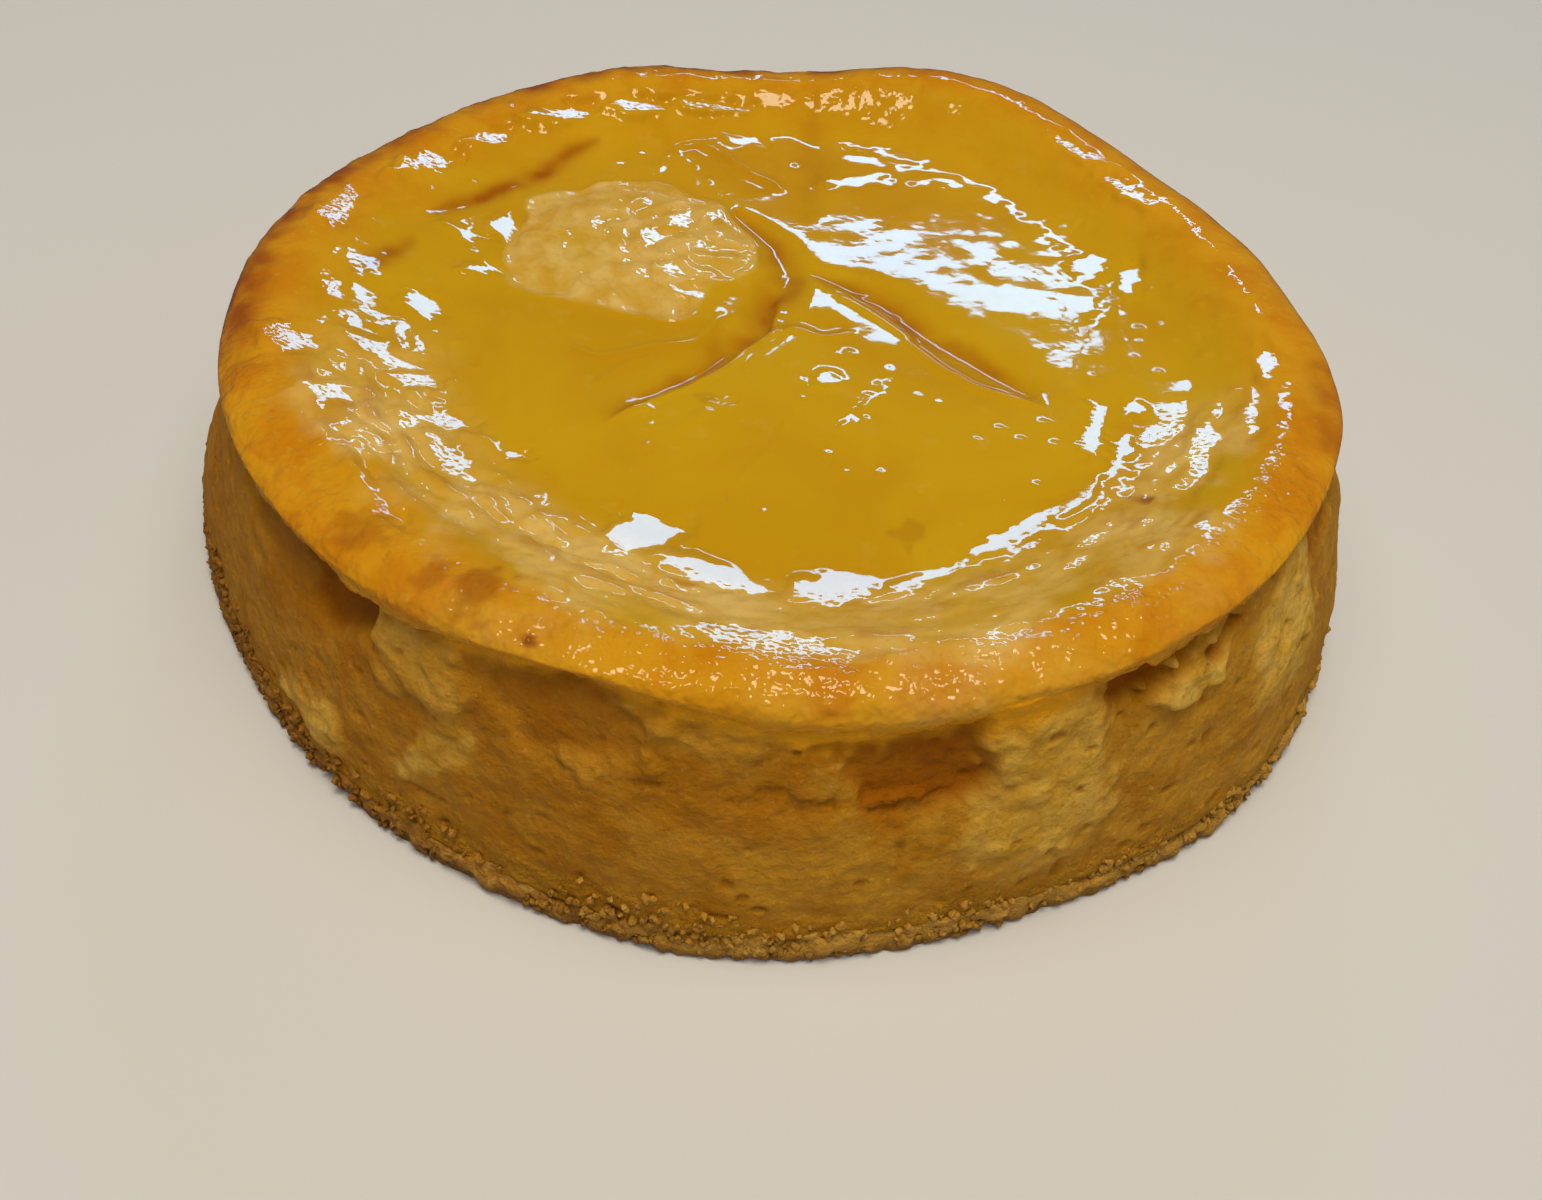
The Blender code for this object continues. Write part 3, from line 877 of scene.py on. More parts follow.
def paintTop(mesh, points, flat, place):
    # the masks that the material reads
    look = glazedTop
    within, slope, island = place["within"], place["slope"], place["island"]
    frontSlope, frontLip = place["frontSlope"], place["frontLip"]
    clouds = layeredNoise(flat, 0.022, 91)
    reach = metres(waveRound(place["angle"], browningReach)) * (1 + 0.5 * clouds)
    browning = 1 - easeBetween(-0.15, 1.0, place["inward"] / reach)
    back = look["backBrowning"] * easeBetween(0.015, 0.060, flat[:, 1])
    setMask(mesh, "browning", np.maximum(browning, back))

    pale = island * (0.80 + 0.25 * place["crumple"])
    pale = np.maximum(pale, frontSlope * (0.74 + 0.5 * clouds))
    pale = np.maximum(pale, frontLip * within("paleLip") * (0.12 + 0.3 * clouds))
    setMask(mesh, "pale", pale)

    # darker lines along the front wrinkles, painted shading lines along the island's wrinkles, the
    # cracks' stains with painted shade in their valleys, and painted shade behind the folds
    creaseStainAndShade = easeBetween(0.25, 0.85, place["wrinkles"]) * frontSlope * look["wrinkleStainAndShade"]
    sharp = easeBetween(0.80, 1.0, 1 - abs(place["crumple"]))
    creaseStainAndShade += sharp * island * 0.4 * look["wrinkleStainAndShade"]
    blots = 0.75 + 0.45 * layeredNoise(flat, 0.006, 95)
    bent = wobbled(flat, look["crackWobble"], 93, 94)
    for crack in cracks:
        creaseStainAndShade = np.maximum(creaseStainAndShade, crack["stainAndShade"] * blots * crackField(*bent, crack, 0.8))
    setMask(mesh, "creaseStainAndShade", np.maximum(creaseStainAndShade, place["foldShade"] * 0.95))

    scorch = np.zeros(len(points))
    for *sizes, strength in scorches:
        *middle, size = metres(sizes)
        away = np.linalg.norm(points - middle, axis=1) * (1 + 0.5 * softNoise(flat, 0.0015, 96))
        scorch = np.maximum(scorch, strength * (1 - easeBetween(0.5 * size, 1.2 * size, away)))
    setMask(mesh, "scorch", scorch)

    ledge = easeBetween(*look["clearOverhang"], place["outline"]["overhang"])
    lowEdge = place["drop"] + 0.16 * layeredNoise(points, 0.008, 99) - 0.10 * ledge
    lowEdge -= 0.30 * within("wholeLeftEdge") + 0.16 * within("wholeRightEdge")
    lowEdge += 0.22 * within("frayedEdge")
    lowEdge = easeBetween(*look["crumbledFrom"], lowEdge) * easeBetween(0.9, 1.1, slope)
    setMask(mesh, "lowEdge", lowEdge)

    dimpled = look["poolDimples"] + look["rimDimples"] * easeBetween(0.2, 0.8, slope)
    dimpled = dimpled * (1 + 0.6 * softNoise(points, 0.009, 97)) + 0.12 * (island + frontSlope)
    dimpled += 0.22 * place["backLip"] + 0.20 * within("rightLip") * easeBetween(0.90, 1.1, slope)
    dimpled = np.maximum(dimpled, look["lipDimples"] * frontLip) * (1 - place["calm"])
    setMask(mesh, "dimpled", dimpled + 0.3 * lowEdge)

    outer = 1 - easeBetween(-0.0050, 0.0020, place["inward"])
    burnt = np.maximum(within("burntBack") * outer, 0.6 * within("burntRight") * outer ** 2)
    setMask(mesh, "burnt", burnt * (0.65 + 0.6 * layeredNoise(points, 0.005, 98)))


def glazedMaterial():
    material, tree, shader, place = newMaterial("glazedSkin")
    look = glazedTop
    pool = mottleNode(tree, place, 0.030, look["amber"], look["amberDeep"], look["pale"],
                      0.55, 0.05)
    rim = mottleNode(tree, place, 0.011, look["browned"], look["brownedDeep"], look["paleDeep"],
                     0.65, 0.6)
    milky = mottleNode(tree, place, 0.007, look["pale"], look["paleDeep"], look["amber"], 0.8, 0.5)
    colour = mixColour(tree, maskNode(tree, "browning"), pool, rim)
    pale = mathNode(tree, "MULTIPLY", maskNode(tree, "pale"), 0.8)
    colour = mixColour(tree, pale, colour, milky)
    # the crease mask lays the cracks' stains and the painted shade
    for mask, name in (("creaseStainAndShade", "stainAndShadeColour"), ("scorch", "scorch"), ("lowEdge", "crumbEdge"),
                       ("burnt", "burntEdge")):
        colour = mixColour(tree, maskNode(tree, mask), colour, look[name])
    grain = grainNode(tree, place, look["grainSize"], 0.6, 1.2, 0.5)
    dry = mathNode(tree, "MULTIPLY", maskNode(tree, "lowEdge"), look["dryness"])
    feedInputs(tree, shader, {
        "Base Color": colour,
        "Normal": bumpNode(tree, grain["Height"], look["grainDepth"], maskNode(tree, "dimpled")),
        "Roughness": mathNode(tree, "ADD", dry, look["glazeRoughness"]),
        "Specular IOR Level": look["mirror"]})
    return material


def makeTop():
    middle = float(poolSurface(np.zeros(1), np.zeros(1))[0])
    mesh = closedSkin("glazed_top", (0, 0, middle - glazedTop["thickness"]), topRows(),
                      (0, 0, middle))
    shapeTop(mesh)
    return placePiece("glazed_top", mesh, glazedMaterial())


# The torn side and the cake inside it
tornSide = {
    "segments": 1024,
    "rows": 80,
    "neckDrop": 0.0014,         # the wall reaches its neck this far below the lip's edge
    "underRows": ((64, 0.3), (128, 0.6), (256, 0.85), (512, 0.96)),
    # the rows under the glaze: how each is made, how many points, and where
    "hiddenRows": (
        (shoulderRow, 512, 30), (shoulderRow, 256, 60), (slopeRow, 256, 0.0),
        (slopeRow, 128, 0.35), (slopeRow, 128, 0.7), (poolRow, 64, 0.0), (poolRow, 64, 0.25),
        (poolRow, 64, 0.5), (poolRow, 64, 0.75),
    ),
    "curd": ((0.0085, 0.00045), (0.0038, 0.00030), (0.0018, 0.00020)),
    "ridges": (0.0034, 0.0005),         # size and height
    "tears": (0.0060, 0.0005),
    "pits": (0.0024, 0.0006),
    "footLumps": (0.0036, 0.0004),
    "raggedFoot": (0.0080, 0.0028),
    "raggedRoof": (0.0060, 0.0006),
    "crumbyFoot": (0.0065, 0.0120),     # the wall has the foot's colour and lumps below this
    "patchEdge": (0.30, 0.36),          # how softly pale lumps and recesses end
    "patchWarp": (3.8, 0.0030),         # degrees round the cake, metres up
    "inset": 0.0023,
    # painted shade in a tear deepens up to this depth
    "fullTear": 0.0018,         # a recess this deep has the full recess colour
    "tan": (0.54, 0.262, 0.020),
    "tanDeep": (0.43, 0.175, 0.004),
    "pale": (0.75, 0.460, 0.080),
    "paleDeep": (0.60, 0.315, 0.018),
    # the torn places' deeper orange, also laid as painted shade in deep tears, in pits, on the
    # left and under the lip
    "recessAndShade": (0.36, 0.112, 0.001),
    "recessDeep": (0.30, 0.082, 0.001),
    "roughness": 0.70,
    "mirror": 0.1,
    "grainSize": 0.0013,
    "grainDepth": 0.0005,
    "footGrain": 0.0008,
    "poreColour": (0.36, 0.125, 0.002),
    "footColour": (0.49, 0.228, 0.010),
}
# Parts of the wall round the cake: middle, half width and fade, in degrees. The first two and the
# last three mark painted shade; the third marks where a pale patch is only made less pale
sideSectors = {
    "shadeLeftPale": (-132, 30, 16),
    "shadeFrontLump": (-93, 10, 6),
    "dimRight": (-64, 12, 5),
    "shadeLeftWall": (-152, 48, 26),
    "shadeUnderLipLeft": (-124, 20, 8),
    "shadeUnderLipFront": (-92, 7, 5),
}
# Places on the side: degrees round the cake, height, half width in degrees, half height, and
# how far they stand out or are torn in, all lengths in millimetres
paleLumps = (
    (-122, 37, 7, 8.5, 1.2), (-91, 41.5, 10.5, 5, 0.6), (-64.5, 30, 7.6, 17, 1.3),
    (-30, 34, 5.5, 11, 0.8), (-44, 38.5, 5, 3, 1.5), (-102, 34, 2, 2.2, 0.8),
    (-134, 13.5, 6, 5.5, 0.9), (-148, 42, 4, 4, 1), (-119, 23, 4, 6, 0.6), (12, 36, 9, 8, 1.2),
    (39, 26, 5, 6, 0.8), (57, 34.5, 11, 5.5, 1), (93, 29, 13, 8.5, 1.2), (128, 19, 6, 5, 0.7),
    (166, 32, 9, 7, 1.1),
)
tornRecesses = (
    (-135, 38.5, 5, 8.5, 2.6), (-145, 36, 5.5, 6, 1), (-107, 38, 5, 7, 1.1),
    (-75, 33.8, 6.2, 8.2, 2.1), (-84, 30, 9, 1.3, 0.7), (-52, 42, 4.6, 4.2, 2.3),
    (-39.5, 42.5, 2, 1.8, 1.9), (-18, 38, 6, 3, 1.3), (26, 34.5, 7, 4.5, 1.3),
    (74, 32.5, 5, 4, 1.6), (121, 30, 11, 4.8, 1.2), (149, 27.5, 6, 6, 1.6),
)


def patchField(angle, height, patch, soft):
    middle, level, halfTurn, halfHeight, _ = patch
    across = turnFrom(angle, middle) / halfTurn
    up = (height * 1000 - level) / halfHeight
    away = np.hypot(across, up)
    return 1 - easeBetween(1 - soft, 1 + soft, away)


def wallPlain(angles, heights):
    # radius of the plain wall, from the foot up to the neck under the lip
    o = outlines(angles)
    foot = o["foot"] * cake["wallFoot"]
    neck = o["lip"] - o["overhang"]
    top = o["edge"] - tornSide["neckDrop"]
    share = np.clip((heights - wallLow) / (top - wallLow), 0, 1)
    return foot + (neck - foot) * share ** cake["wallBulge"]


def sideRows():
    fine = evenAngles(tornSide["segments"])
    o = outlines(fine)
    rows = []
    for count, share in tornSide["underRows"]:
        rows.append(footRow(count, cake["wallFoot"] * share, wallLow))
    for step in range(tornSide["rows"]):
        height = wallLow + (o["belly"] - wallLow) * step / (tornSide["rows"] - 1)
        rows.append(ringRow(fine, wallPlain(fine, height), height))
    for makeRow, count, place in tornSide["hiddenRows"]:
        rows.append(makeRow(evenAngles(count), place, tornSide["inset"]))
    return rows


def shapeSide(mesh):
    points, normals = meshPoints(mesh), meshPoints(mesh, "normal")
    look = tornSide
    angle = anglesOf(points)
    height = points[:, 2]
    o = outlines(angle)

    def within(name):
        return aroundAngle(angle, *sideSectors[name])

    upright = easeBetween(0.3, 0.6, np.hypot(normals[:, 0], normals[:, 1]))
    onWall = easeBetween(0.0, 0.0012, height - wallLow) * upright
    onWall *= height <= o["belly"] + 0.0004
    turnWarp, heightWarp = look["patchWarp"]
    warpTurn = angle + layeredNoise(points, 0.012, 101, layers=4, keep=0.6) * turnWarp
    warpHeight = height + layeredNoise(points, 0.010, 105, layers=4, keep=0.6) * heightWarp
    pale = np.zeros(len(points))
    recessAndShade = np.zeros(len(points))
    relief = np.zeros(len(points))
    paleEdge, recessEdge = look["patchEdge"]
    for patch in paleLumps:
        field = patchField(warpTurn, warpHeight, patch, paleEdge)
        pale = np.maximum(pale, field)
        relief = np.maximum(relief, field * metres(patch[4]))
    for patch in tornRecesses:
        field = patchField(warpTurn, warpHeight, patch, recessEdge)
        depth = metres(patch[4])
        # painted shade: the recess colour deepens with the tear's depth
        recessAndShade = np.maximum(recessAndShade, field * min(1, depth / look["fullTear"]))
        relief = relief * (1 - field) - field * depth
    relief += bumpsOfEach(points, look["curd"], 111)
    size, depth = look["tears"]
    tears = softNoise(points * (0.8, 0.8, 1.3), size, 121) + 0.4 * softNoise(points, 0.0026, 122)
    relief += (easeBetween(0.2, 0.6, tears) - 0.5) * depth * (0.1 + 0.9 * pale)
    strata = points * (0.35, 0.35, 1.0)
    strata[:, 2] += 0.0014 * softNoise(points, 0.006, 134) - 0.6 * o["edge"]
    size, depth = look["ridges"]
    ridges = 1 - abs(softNoise(strata, size, 135) + 0.4 * softNoise(strata, 0.0016, 136))
    relief += (ridges - 0.7) * depth * (0.15 + 0.85 * pale)
    size, depth = look["pits"]
    pitted = easeBetween(0.66, 0.86, softNoise(points * (0.9, 0.9, 1.1), size, 125))
    relief -= pitted * depth
    ragged = height + bumps(points, look["raggedFoot"], 127, 3)
    crumbed = 1 - easeBetween(*look["crumbyFoot"], ragged)
    relief += bumps(points, look["footLumps"], 128, 2, 0.7) * crumbed
    roof = o["overhang"] - 0.0001 + bumps(points, look["raggedRoof"], 129, 3)
    underLip = easeBetween(-0.0020, 0.0004, height - o["edge"])
    relief = np.where(relief > roof, relief + (roof - relief) * underLip, relief)
    lean = points * (1, 1, 0)
    lean /= np.maximum(np.hypot(lean[:, 0], lean[:, 1]), 1e-6)[:, None]
    points = points + lean * (relief * onWall)[:, None]
    setPoints(mesh, points)
    clouds = layeredNoise(points, 0.006, 131)
    # painted shade: the pale patches are dimmed high on the left and on the front lump; on the
    # right they are only made less pale
    dim = 1 - 0.5 * within("shadeLeftPale") * easeBetween(0.016, 0.026, height)
    dim -= 0.6 * within("shadeFrontLump") + 0.22 * within("dimRight")
    upper = easeBetween(0.021, 0.027, height + 0.0015 * clouds)
    # painted shade: the recess colour laid on the left of the wall and under the lip at the left
    # and front
    toastAndShade = 0.28 * within("shadeLeftWall")
    toastAndShade = np.maximum(toastAndShade, 0.45 * within("shadeUnderLipLeft") * upper)
    toastAndShade = np.maximum(toastAndShade, 0.40 * within("shadeUnderLipFront") * upper)
    recessAndShade = np.maximum(recessAndShade, toastAndShade * (1 - 0.8 * pale))
    setMask(mesh, "pale", pale * dim * (1 - recessAndShade))
    # pits take painted shade in the recess colour
    setMask(mesh, "recessAndShade", np.maximum(recessAndShade, pitted * 0.45))
    setMask(mesh, "crumbed", crumbed)
    setMask(mesh, "browned", easeBetween(-0.0022, 0.0010, height - o["edge"] + 0.0014 * clouds))


def sideMaterial():
    material, tree, shader, place = newMaterial("tornCake")
    look = tornSide
    base = mottleNode(tree, place, 0.009, look["tan"], look["tanDeep"], look["pale"], 0.85, 0.35)
    cream = mottleNode(tree, place, 0.007, look["pale"], look["paleDeep"], look["tanDeep"],
                       0.8, 0.35)
    # the recess colour: the torn places' deeper orange with painted shade
    dark = mottleNode(tree, place, 0.008, look["recessAndShade"], look["recessDeep"], look["tanDeep"],
                      0.8, 0.4)
    grain = grainNode(tree, place, look["grainSize"], 1.2, 3.0)
    crumbed = maskNode(tree, "crumbed")
    colour = mixColour(tree, maskNode(tree, "pale"), base, cream)
    colour = mixColour(tree, maskNode(tree, "recessAndShade"), colour, dark)
    pores = mathNode(tree, "MULTIPLY", grain["Spots"], 0.25)
    colour = mixColour(tree, pores, colour, look["poreColour"])
    colour = mixColour(tree, mathNode(tree, "MULTIPLY", crumbed, 0.7), colour, look["footColour"])
    normal = bumpNode(tree, grain["Height"], look["grainDepth"])
    feedInputs(tree, shader, {
        "Base Color": mixColour(tree, maskNode(tree, "browned"), colour, glazedTop["crumbEdge"]),
        "Normal": bumpNode(tree, grain["Height"], look["footGrain"], crumbed, normal),
        "Roughness": look["roughness"],
        "Specular IOR Level": look["mirror"]})
    return material


def makeSide():
    middle = float(poolSurface(np.zeros(1), np.zeros(1))[0])
    mesh = closedSkin("torn_side", (0, 0, wallLow), sideRows(),
                      (0, 0, middle - tornSide["inset"]))
    shapeSide(mesh)
    return placePiece("torn_side", mesh, sideMaterial())


# The pressed crumbs under the cake
crumbLayer = {
    "segments": 1152,
    "rows": 14,
    "topLow": 0.0042,
    "topHigh": 0.0064,
    "lumps": ((0.0048, 0.0007), (0.0024, 0.0007), (0.0012, 0.00035)),      # outward
    "rises": (0.0016, 0.0004),          # upward
    "plainHeight": 0.0006,              # nothing rises below this height
    "underRows": ((72, 0.3), (144, 0.6), (288, 0.85), (576, 0.95)),
    "overRows": ((576, 0.95), (288, 0.8), (144, 0.5), (72, 0.2)),
    "overDrop": 0.0006,
    # the dark crumbs of the mottle, also the painted shade towards the back left
    "dark": (0.34, 0.136, 0.008),
    "middle": (0.48, 0.225, 0.015),
    "light": (0.60, 0.32, 0.045),
    # painted light: the colour of the lit front right side
    "paintedSideLight": (0.62, 0.34, 0.045),
    # painted contact shade where the crumbs meet the ground
    "contactShade": (0.20, 0.080, 0.006),
    "roughness": 0.8,
    "grainSize": 0.0007,
    "grainDepth": 0.0006,
}


def crumbRows():
    fine = evenAngles(crumbLayer["segments"])
    foot = outlines(fine)["foot"]
    edge = ringRow(fine, 0.09, 0)
    climb = easeBetween(-0.5, 0.6, layeredNoise(edge, 0.012, 141))
    top = crumbLayer["topLow"] + (crumbLayer["topHigh"] - crumbLayer["topLow"]) * climb
    rows = []
    for count, share in crumbLayer["underRows"]:
        rows.append(footRow(count, share, 0))
    inner = foot * cake["wallFoot"]
    for step in range(crumbLayer["rows"]):
        share = step / (crumbLayer["rows"] - 1)
        bulge = math.sin(math.pi * (0.12 + 0.88 * share)) ** 0.7 if share < 1 else 0
        radius = inner - 0.0002 + (foot - inner - 0.0004) * bulge
        rows.append(ringRow(fine, radius, top * share))
    for count, share in crumbLayer["overRows"]:
        rows.append(footRow(count, share, cake["crumbTop"] - crumbLayer["overDrop"]))
    return rows


def crumbMasks(mesh, points, toastAndShade):
    # painted light at the front right, painted shade towards the back left and painted contact
    # shade near the ground; the toast mask here is only random toast
    setMask(mesh, "toastAndShade", 0.5 + 0.5 * toastAndShade)
    setMask(mesh, "paintedSideLight", 0.5 + 0.5 * np.cos(np.radians(anglesOf(points) + 40)))
    setMask(mesh, "contactShade", 1 - easeBetween(0.0010, 0.0036, points[:, 2]))


def shapeCrumbs(mesh):
    points = meshPoints(mesh)
    radius = np.hypot(points[:, 0], points[:, 1])
    foot = outlines(anglesOf(points))["foot"]
    outer = easeBetween(0.955, 0.985, radius / foot)
    relief = bumpsOfEach(points, crumbLayer["lumps"], 151)
    relief = np.where(points[:, 2] < 0.0002, np.minimum(relief, 0), relief) * outer
    lean = points * (1, 1, 0) / np.maximum(radius, 1e-6)[:, None]
    points = points + lean * relief[:, None]
    rough = bumps(points, crumbLayer["rises"], 155) * (points[:, 2] > crumbLayer["plainHeight"])
    points[:, 2] = np.maximum(points[:, 2] + rough * outer, 0)
    setPoints(mesh, points)
    crumbMasks(mesh, points, layeredNoise(points, 0.0022, 161))


def crumbMaterial():
    material, tree, shader, place = newMaterial("pressedCrumbs")
    look = crumbLayer
    colour = mottleNode(tree, place, 0.0022, look["middle"], look["dark"], look["light"], 0.9, 0.6)
    paintedSideLight = maskNode(tree, "paintedSideLight")
    # the toast mask on the crumbs is random toast, with no shade in it
    toastAndShade = rangeNode(tree, maskNode(tree, "toastAndShade"), 0.45, 0.85)
    colour = mixColour(tree, toastAndShade, colour, look["light"])
    # painted light on the front right and painted shade towards the back left
    colour = mixColour(tree, rangeNode(tree, paintedSideLight, 0.6, 1.0, 0.0, 0.6), colour, look["paintedSideLight"])
    colour = mixColour(tree, rangeNode(tree, paintedSideLight, 0.3, 0.8, 0.95, 0.0), colour, look["dark"])
    # painted contact shade near the ground
    contactShade = mathNode(tree, "MULTIPLY", maskNode(tree, "contactShade"), 0.65)
    grain = grainNode(tree, place, look["grainSize"], 1.0, 2.0)
    feedInputs(tree, shader, {
        "Base Color": mixColour(tree, contactShade, colour, look["contactShade"]),
        "Normal": bumpNode(tree, grain["Height"], look["grainDepth"]),
        "Roughness": look["roughness"]})
    return material


def makeCrumbLayer(material):
    middle = (0, 0, cake["crumbTop"] - crumbLayer["overDrop"])
    mesh = closedSkin("pressed_crumbs", (0, 0, 0), crumbRows(), middle)
    shapeCrumbs(mesh)
    return placePiece("pressed_crumbs", mesh, material)


# Crumbs scattered by Geometry Nodes over a guide strip, by the names of the tree's inputs
looseCrumbs = {
    "Crumbs Per Area": 640000.0,
    "Smallest": 0.00026,
    "Largest": 0.00086,
    "Lumpiness": 0.00135,
    "Seed": 4,
}
crumbShape = {
    "proportions": (1.25, 0.95, 0.75),
    "lumpScale": 1400.0,
    "subdivisions": 2,
}
guideStrip = {
    "segments": 360,
    "footRows": ((0.0009, 0.0009), (0.0006, 0.0028), (0.0012, 0.0046)),     # inward, up
    "wallRows": (0.0060, 0.0085, 0.0115),
    "clumpSize": 0.011,
    "thickPlace": (-91, 8, 5),          # middle, half width and fade, in degrees
    "climb": (0.014, 0.0030),           # the crumbs reach up the wall by this much more or less
    "noneAbove": (0.0052, 0.0092),
}


def scatterTree():
    tree, inside, outside, names = newGroup(
        "scatteredCrumbs", "GeometryNodeTree",
        (("Geometry", "Geometry", None), ("Crumbs Per Area", "Float", 500000.0),
         ("Smallest", "Float", 0.0003), ("Largest", "Float", 0.0008),
         ("Lumpiness", "Float", 0.0004), ("Seed", "Int", 1), ("Finish", "Material", None)),
        (("Geometry", "Geometry"),))

    def make(kind, inputs=None, **settings):
        return newNode(tree, kind, inputs, **settings).outputs

    chance = make("GeometryNodeInputNamedAttribute", {"Name": "chance"}, data_type="FLOAT")
    density = mathNode(tree, "MULTIPLY", inside["Crumbs Per Area"], chance["Attribute"])
    points = make("GeometryNodeDistributePointsOnFaces", {
        "Mesh": inside["Geometry"], "Density": density, "Seed": inside["Seed"]})
    crumb = make("GeometryNodeMeshIcoSphere", {
        "Radius": 1.0, "Subdivisions": crumbShape["subdivisions"]})
    turn = newNode(tree, "FunctionNodeRandomValue", data_type="FLOAT_VECTOR")
    feedInputs(tree, turn, {"Max": (math.tau, math.tau, math.tau), "Seed": inside["Seed"]})
    size = make("FunctionNodeRandomValue", {
        2: inside["Smallest"], 3: inside["Largest"], "Seed": inside["Seed"]}, data_type="FLOAT")
    flatten = make("ShaderNodeVectorMath", {0: size[1], 1: crumbShape["proportions"]},
                   operation="MULTIPLY")
    place = make("GeometryNodeInstanceOnPoints", {
        "Points": points["Points"], "Instance": crumb["Mesh"], "Rotation": turn.outputs["Value"],
        "Scale": flatten[0]})
    whole = make("GeometryNodeRealizeInstances", {"Geometry": place["Instances"]})
    lump = make("ShaderNodeTexNoise", {"Scale": crumbShape["lumpScale"], "Detail": 1.0})
    middle = make("ShaderNodeVectorMath", {0: lump["Color"], 1: (0.5, 0.5, 0.5)},
                  operation="SUBTRACT")
    push = make("ShaderNodeVectorMath", {0: middle[0], "Scale": inside["Lumpiness"]},
                operation="SCALE")
    shape = make("GeometryNodeSetPosition", {"Geometry": whole["Geometry"], "Offset": push[0]})
    smooth = make("GeometryNodeSetShadeSmooth", {"Geometry": shape["Geometry"]})
    finish = make("GeometryNodeSetMaterial", {
        "Geometry": smooth["Geometry"], "Material": inside["Finish"]})
    feedInputs(tree, outside, {"Geometry": finish["Geometry"]})
    return tree, names


def crumbStrip():
    # guide strip round the foot, with the chance of a crumb at each point
    fine = evenAngles(guideStrip["segments"])
    foot = outlines(fine)["foot"]
    rows = [ringRow(fine, foot - inward, height) for inward, height in guideStrip["footRows"]]
    for height in guideStrip["wallRows"]:
        rows.append(ringRow(fine, wallPlain(fine, height), height))
    points = np.vstack(rows)
    count = len(fine)
    faces = []
    for row in range(len(rows) - 1):
        for k in range(count):
            after = (k + 1) % count
            faces.append((row * count + k, row * count + after,
                          (row + 1) * count + after, (row + 1) * count + k))
    mesh = bpy.data.meshes.new("crumbStrip")
    mesh.from_pydata(points.tolist(), [], faces)
    clumps = easeBetween(-0.3, 0.5, layeredNoise(points, guideStrip["clumpSize"], 171))
    thick = aroundAngle(anglesOf(points), *guideStrip["thickPlace"])
    chance = 0.40 + 0.60 * clumps + 0.6 * thick
    climb = bumps(points * (1, 1, 0), guideStrip["climb"], 172, 3)
    chance *= 1 - easeBetween(*guideStrip["noneAbove"], points[:, 2] + climb)
    setMask(mesh, "chance", chance)
    return mesh


def makeLooseCrumbs(material):
    tree, names = scatterTree()
    guide = placePiece("crumbGuide", crumbStrip(), None)
    nodes = guide.modifiers.new("crumbs", "NODES")
    nodes.node_group = tree
    for label, value in {**looseCrumbs, "Finish": material}.items():
        nodes[names[label]] = value
    evaluated = guide.evaluated_get(bpy.context.evaluated_depsgraph_get())
    mesh = bpy.data.meshes.new_from_object(evaluated)
    mesh.name = "loose_crumbs"
    mesh.materials.pop(index=0)         # the empty slot of the crumb's own shape
    guide.modifiers.remove(nodes)
    bpy.data.objects.remove(guide, do_unlink=True)
    points = meshPoints(mesh)
    points[:, 2] = np.maximum(points[:, 2], 0)
    setPoints(mesh, points)
    crumbMasks(mesh, points, softNoise(points, 0.0016, 181))
    return placePiece("loose_crumbs", mesh, None)


# Floor, lights and camera
studio = {
    "floorColour": (0.72, 0.71, 0.70),
    "floorHalfSize": 3.0,
    "worldColour": (1.0, 0.96, 0.90),
    "worldStrength": 0.07,
}
# Where each light stands: degrees from straight ahead, degrees up, metres away, size, watts,
# and whether the glaze mirrors it
studioLights = {
    "windowLight": dict(turn=4.5, rise=31.3, away=1.5, width=0.40, height=0.085, watts=1.75,
                        colour=(0.29, 0.65, 1.0), mirrored=True),
    "roomLamp": dict(turn=180.0, rise=80.0, away=1.3, width=0.40, height=0.40, watts=6.3,
                     colour=(1.0, 0.87, 0.64), mirrored=True),
    "ceilingLight": dict(turn=180.0, rise=78.0, away=1.3, width=1.3, height=1.3, watts=9.8,
                         colour=(1.0, 0.96, 0.88), mirrored=False),
    "frontFill": dict(turn=118.0, rise=25.0, away=1.6, width=1.1, height=0.7, watts=1.3,
                      colour=(1.0, 0.97, 0.93), mirrored=False),
}
photoView = {
    "place": (0.00123, -0.22874, 0.21676),
    "tilt": 43.584,
    "roll": 5.457,
    "lens": 39.69,
    "sensor": 36.0,
}


def makeFloor():
    half = studio["floorHalfSize"]
    mesh = bpy.data.meshes.new("floor")
    corners = [(-half, -half, 0), (half, -half, 0), (half, half, 0), (-half, half, 0)]
    mesh.from_pydata(corners, [], [(0, 1, 2, 3)])
    material, tree, shader, place = newMaterial("paleFloor")
    shader.inputs["Base Color"].default_value = (*studio["floorColour"], 1)
    shader.inputs["Roughness"].default_value = 0.9
    shader.inputs["Specular IOR Level"].default_value = 0.2
    floor = placePiece("floor", mesh, material)
    floor.visible_glossy = False
    return floor


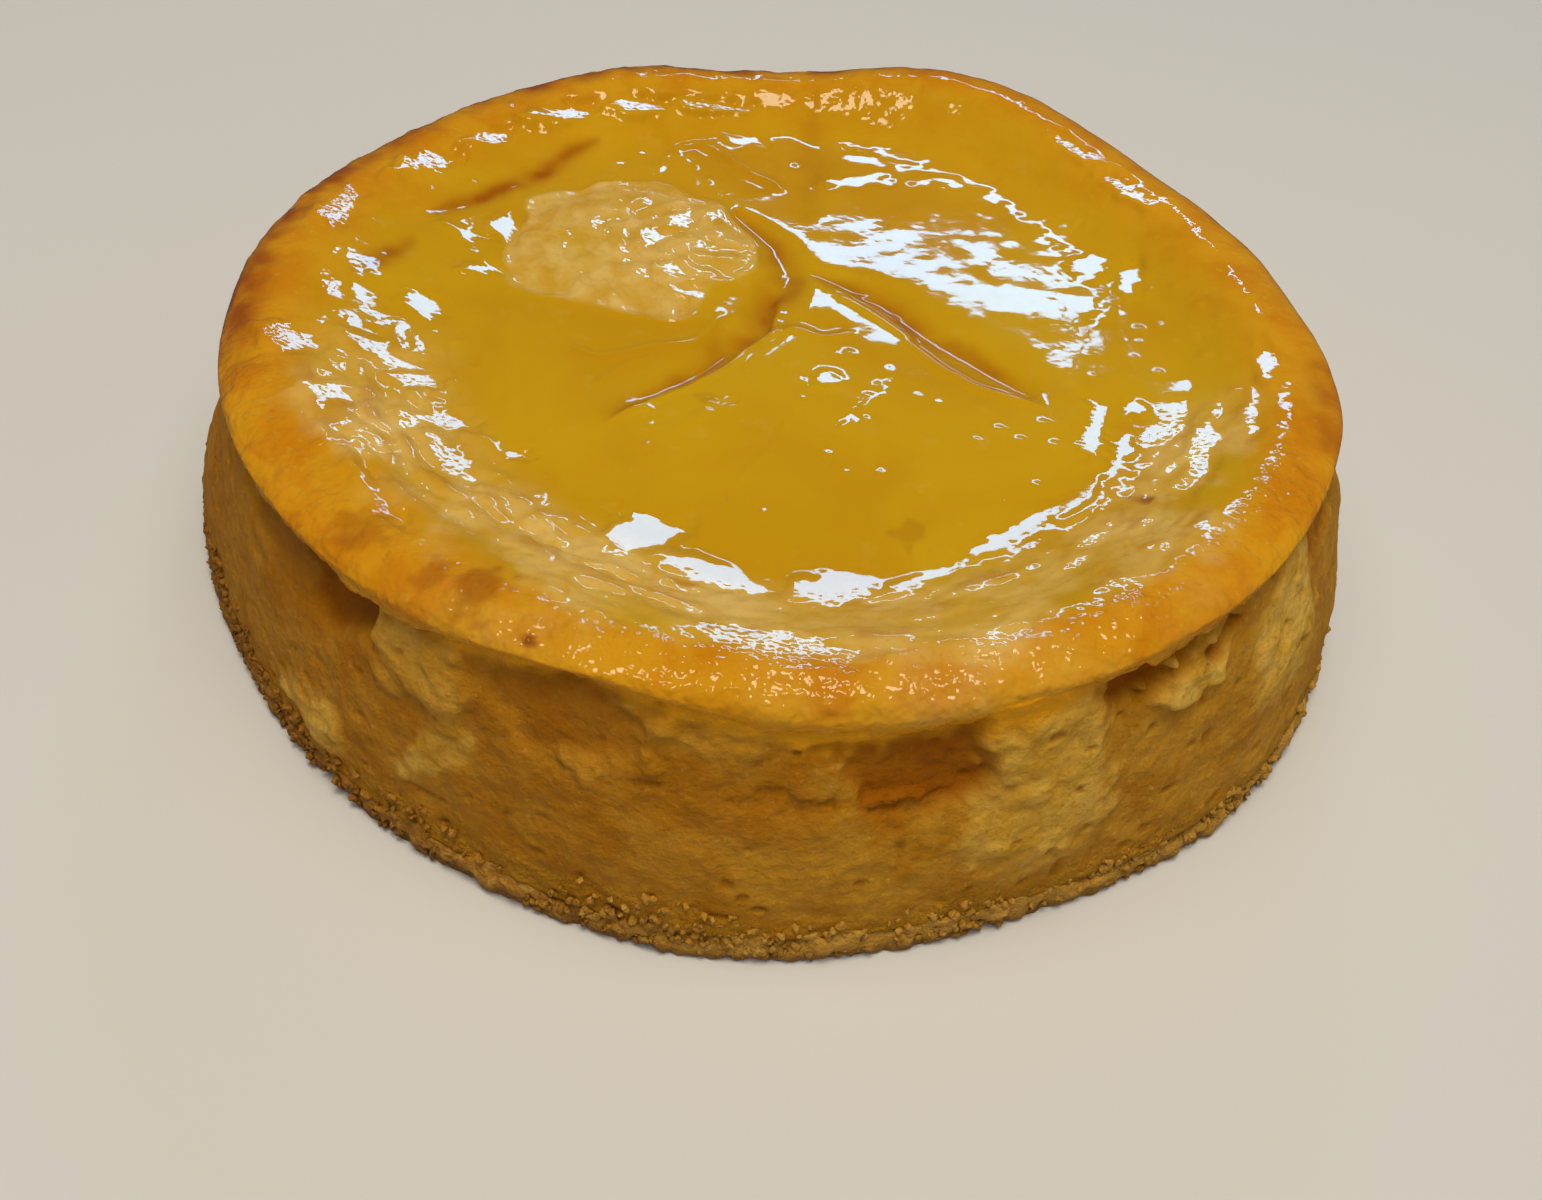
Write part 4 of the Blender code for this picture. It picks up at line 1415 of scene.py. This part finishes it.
def lightPlace(spot):
    turn, rise = math.radians(spot["turn"]), math.radians(spot["rise"])
    outward = Vector((math.sin(turn) * math.cos(rise), math.cos(turn) * math.cos(rise),
                      math.sin(rise)))
    return Vector((0, 0, cake["poolHeight"])) + outward * spot["away"]


def makeLights():
    aim = Vector((0, 0, cake["poolHeight"]))
    for name, spot in studioLights.items():
        data = bpy.data.lights.new(name, "AREA")
        data.shape = "RECTANGLE"
        data.size, data.size_y = spot["width"], spot["height"]
        data.energy = spot["watts"]
        data.color = spot["colour"]
        light = bpy.data.objects.new(name, data)
        light.location = lightPlace(spot)
        light.rotation_euler = (light.location - aim).to_track_quat("Z", "Y").to_euler()
        light.visible_glossy = spot["mirrored"]
        bpy.context.scene.collection.objects.link(light)
    world = bpy.data.worlds.new("softRoom")
    world.use_nodes = True
    sky = world.node_tree.nodes["Background"]
    sky.inputs["Color"].default_value = (*studio["worldColour"], 1)
    sky.inputs["Strength"].default_value = studio["worldStrength"]
    bpy.context.scene.world = world


def makeCamera():
    data = bpy.data.cameras.new("photoCamera")
    data.lens = photoView["lens"]
    data.sensor_width = photoView["sensor"]
    data.clip_start = 0.01
    camera = bpy.data.objects.new("photoCamera", data)
    tilt = Matrix.Rotation(math.radians(photoView["tilt"]), 4, "X")
    roll = Matrix.Rotation(math.radians(photoView["roll"]), 4, "Z")
    camera.matrix_world = Matrix.Translation(photoView["place"]) @ tilt @ roll
    bpy.context.scene.collection.objects.link(camera)
    bpy.context.scene.camera = camera
    bpy.context.scene.view_settings.view_transform = "Standard"


top = makeTop()
print("glazed top:", len(top.data.polygons), "faces")
side = makeSide()
print("torn side:", len(side.data.polygons), "faces")
crumbFinish = crumbMaterial()
base = makeCrumbLayer(crumbFinish)
print("crumb layer:", len(base.data.polygons), "faces")
loose = makeLooseCrumbs(crumbFinish)
print("loose crumbs:", len(loose.data.polygons), "faces")

for piece in (top, side):
    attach(piece, "root")
    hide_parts("cheesecake")
for piece in (base, loose):
    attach(piece, "root")
    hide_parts("crumb_base")

makeFloor()
makeLights()
makeCamera()
print("floor, lights and camera in place")
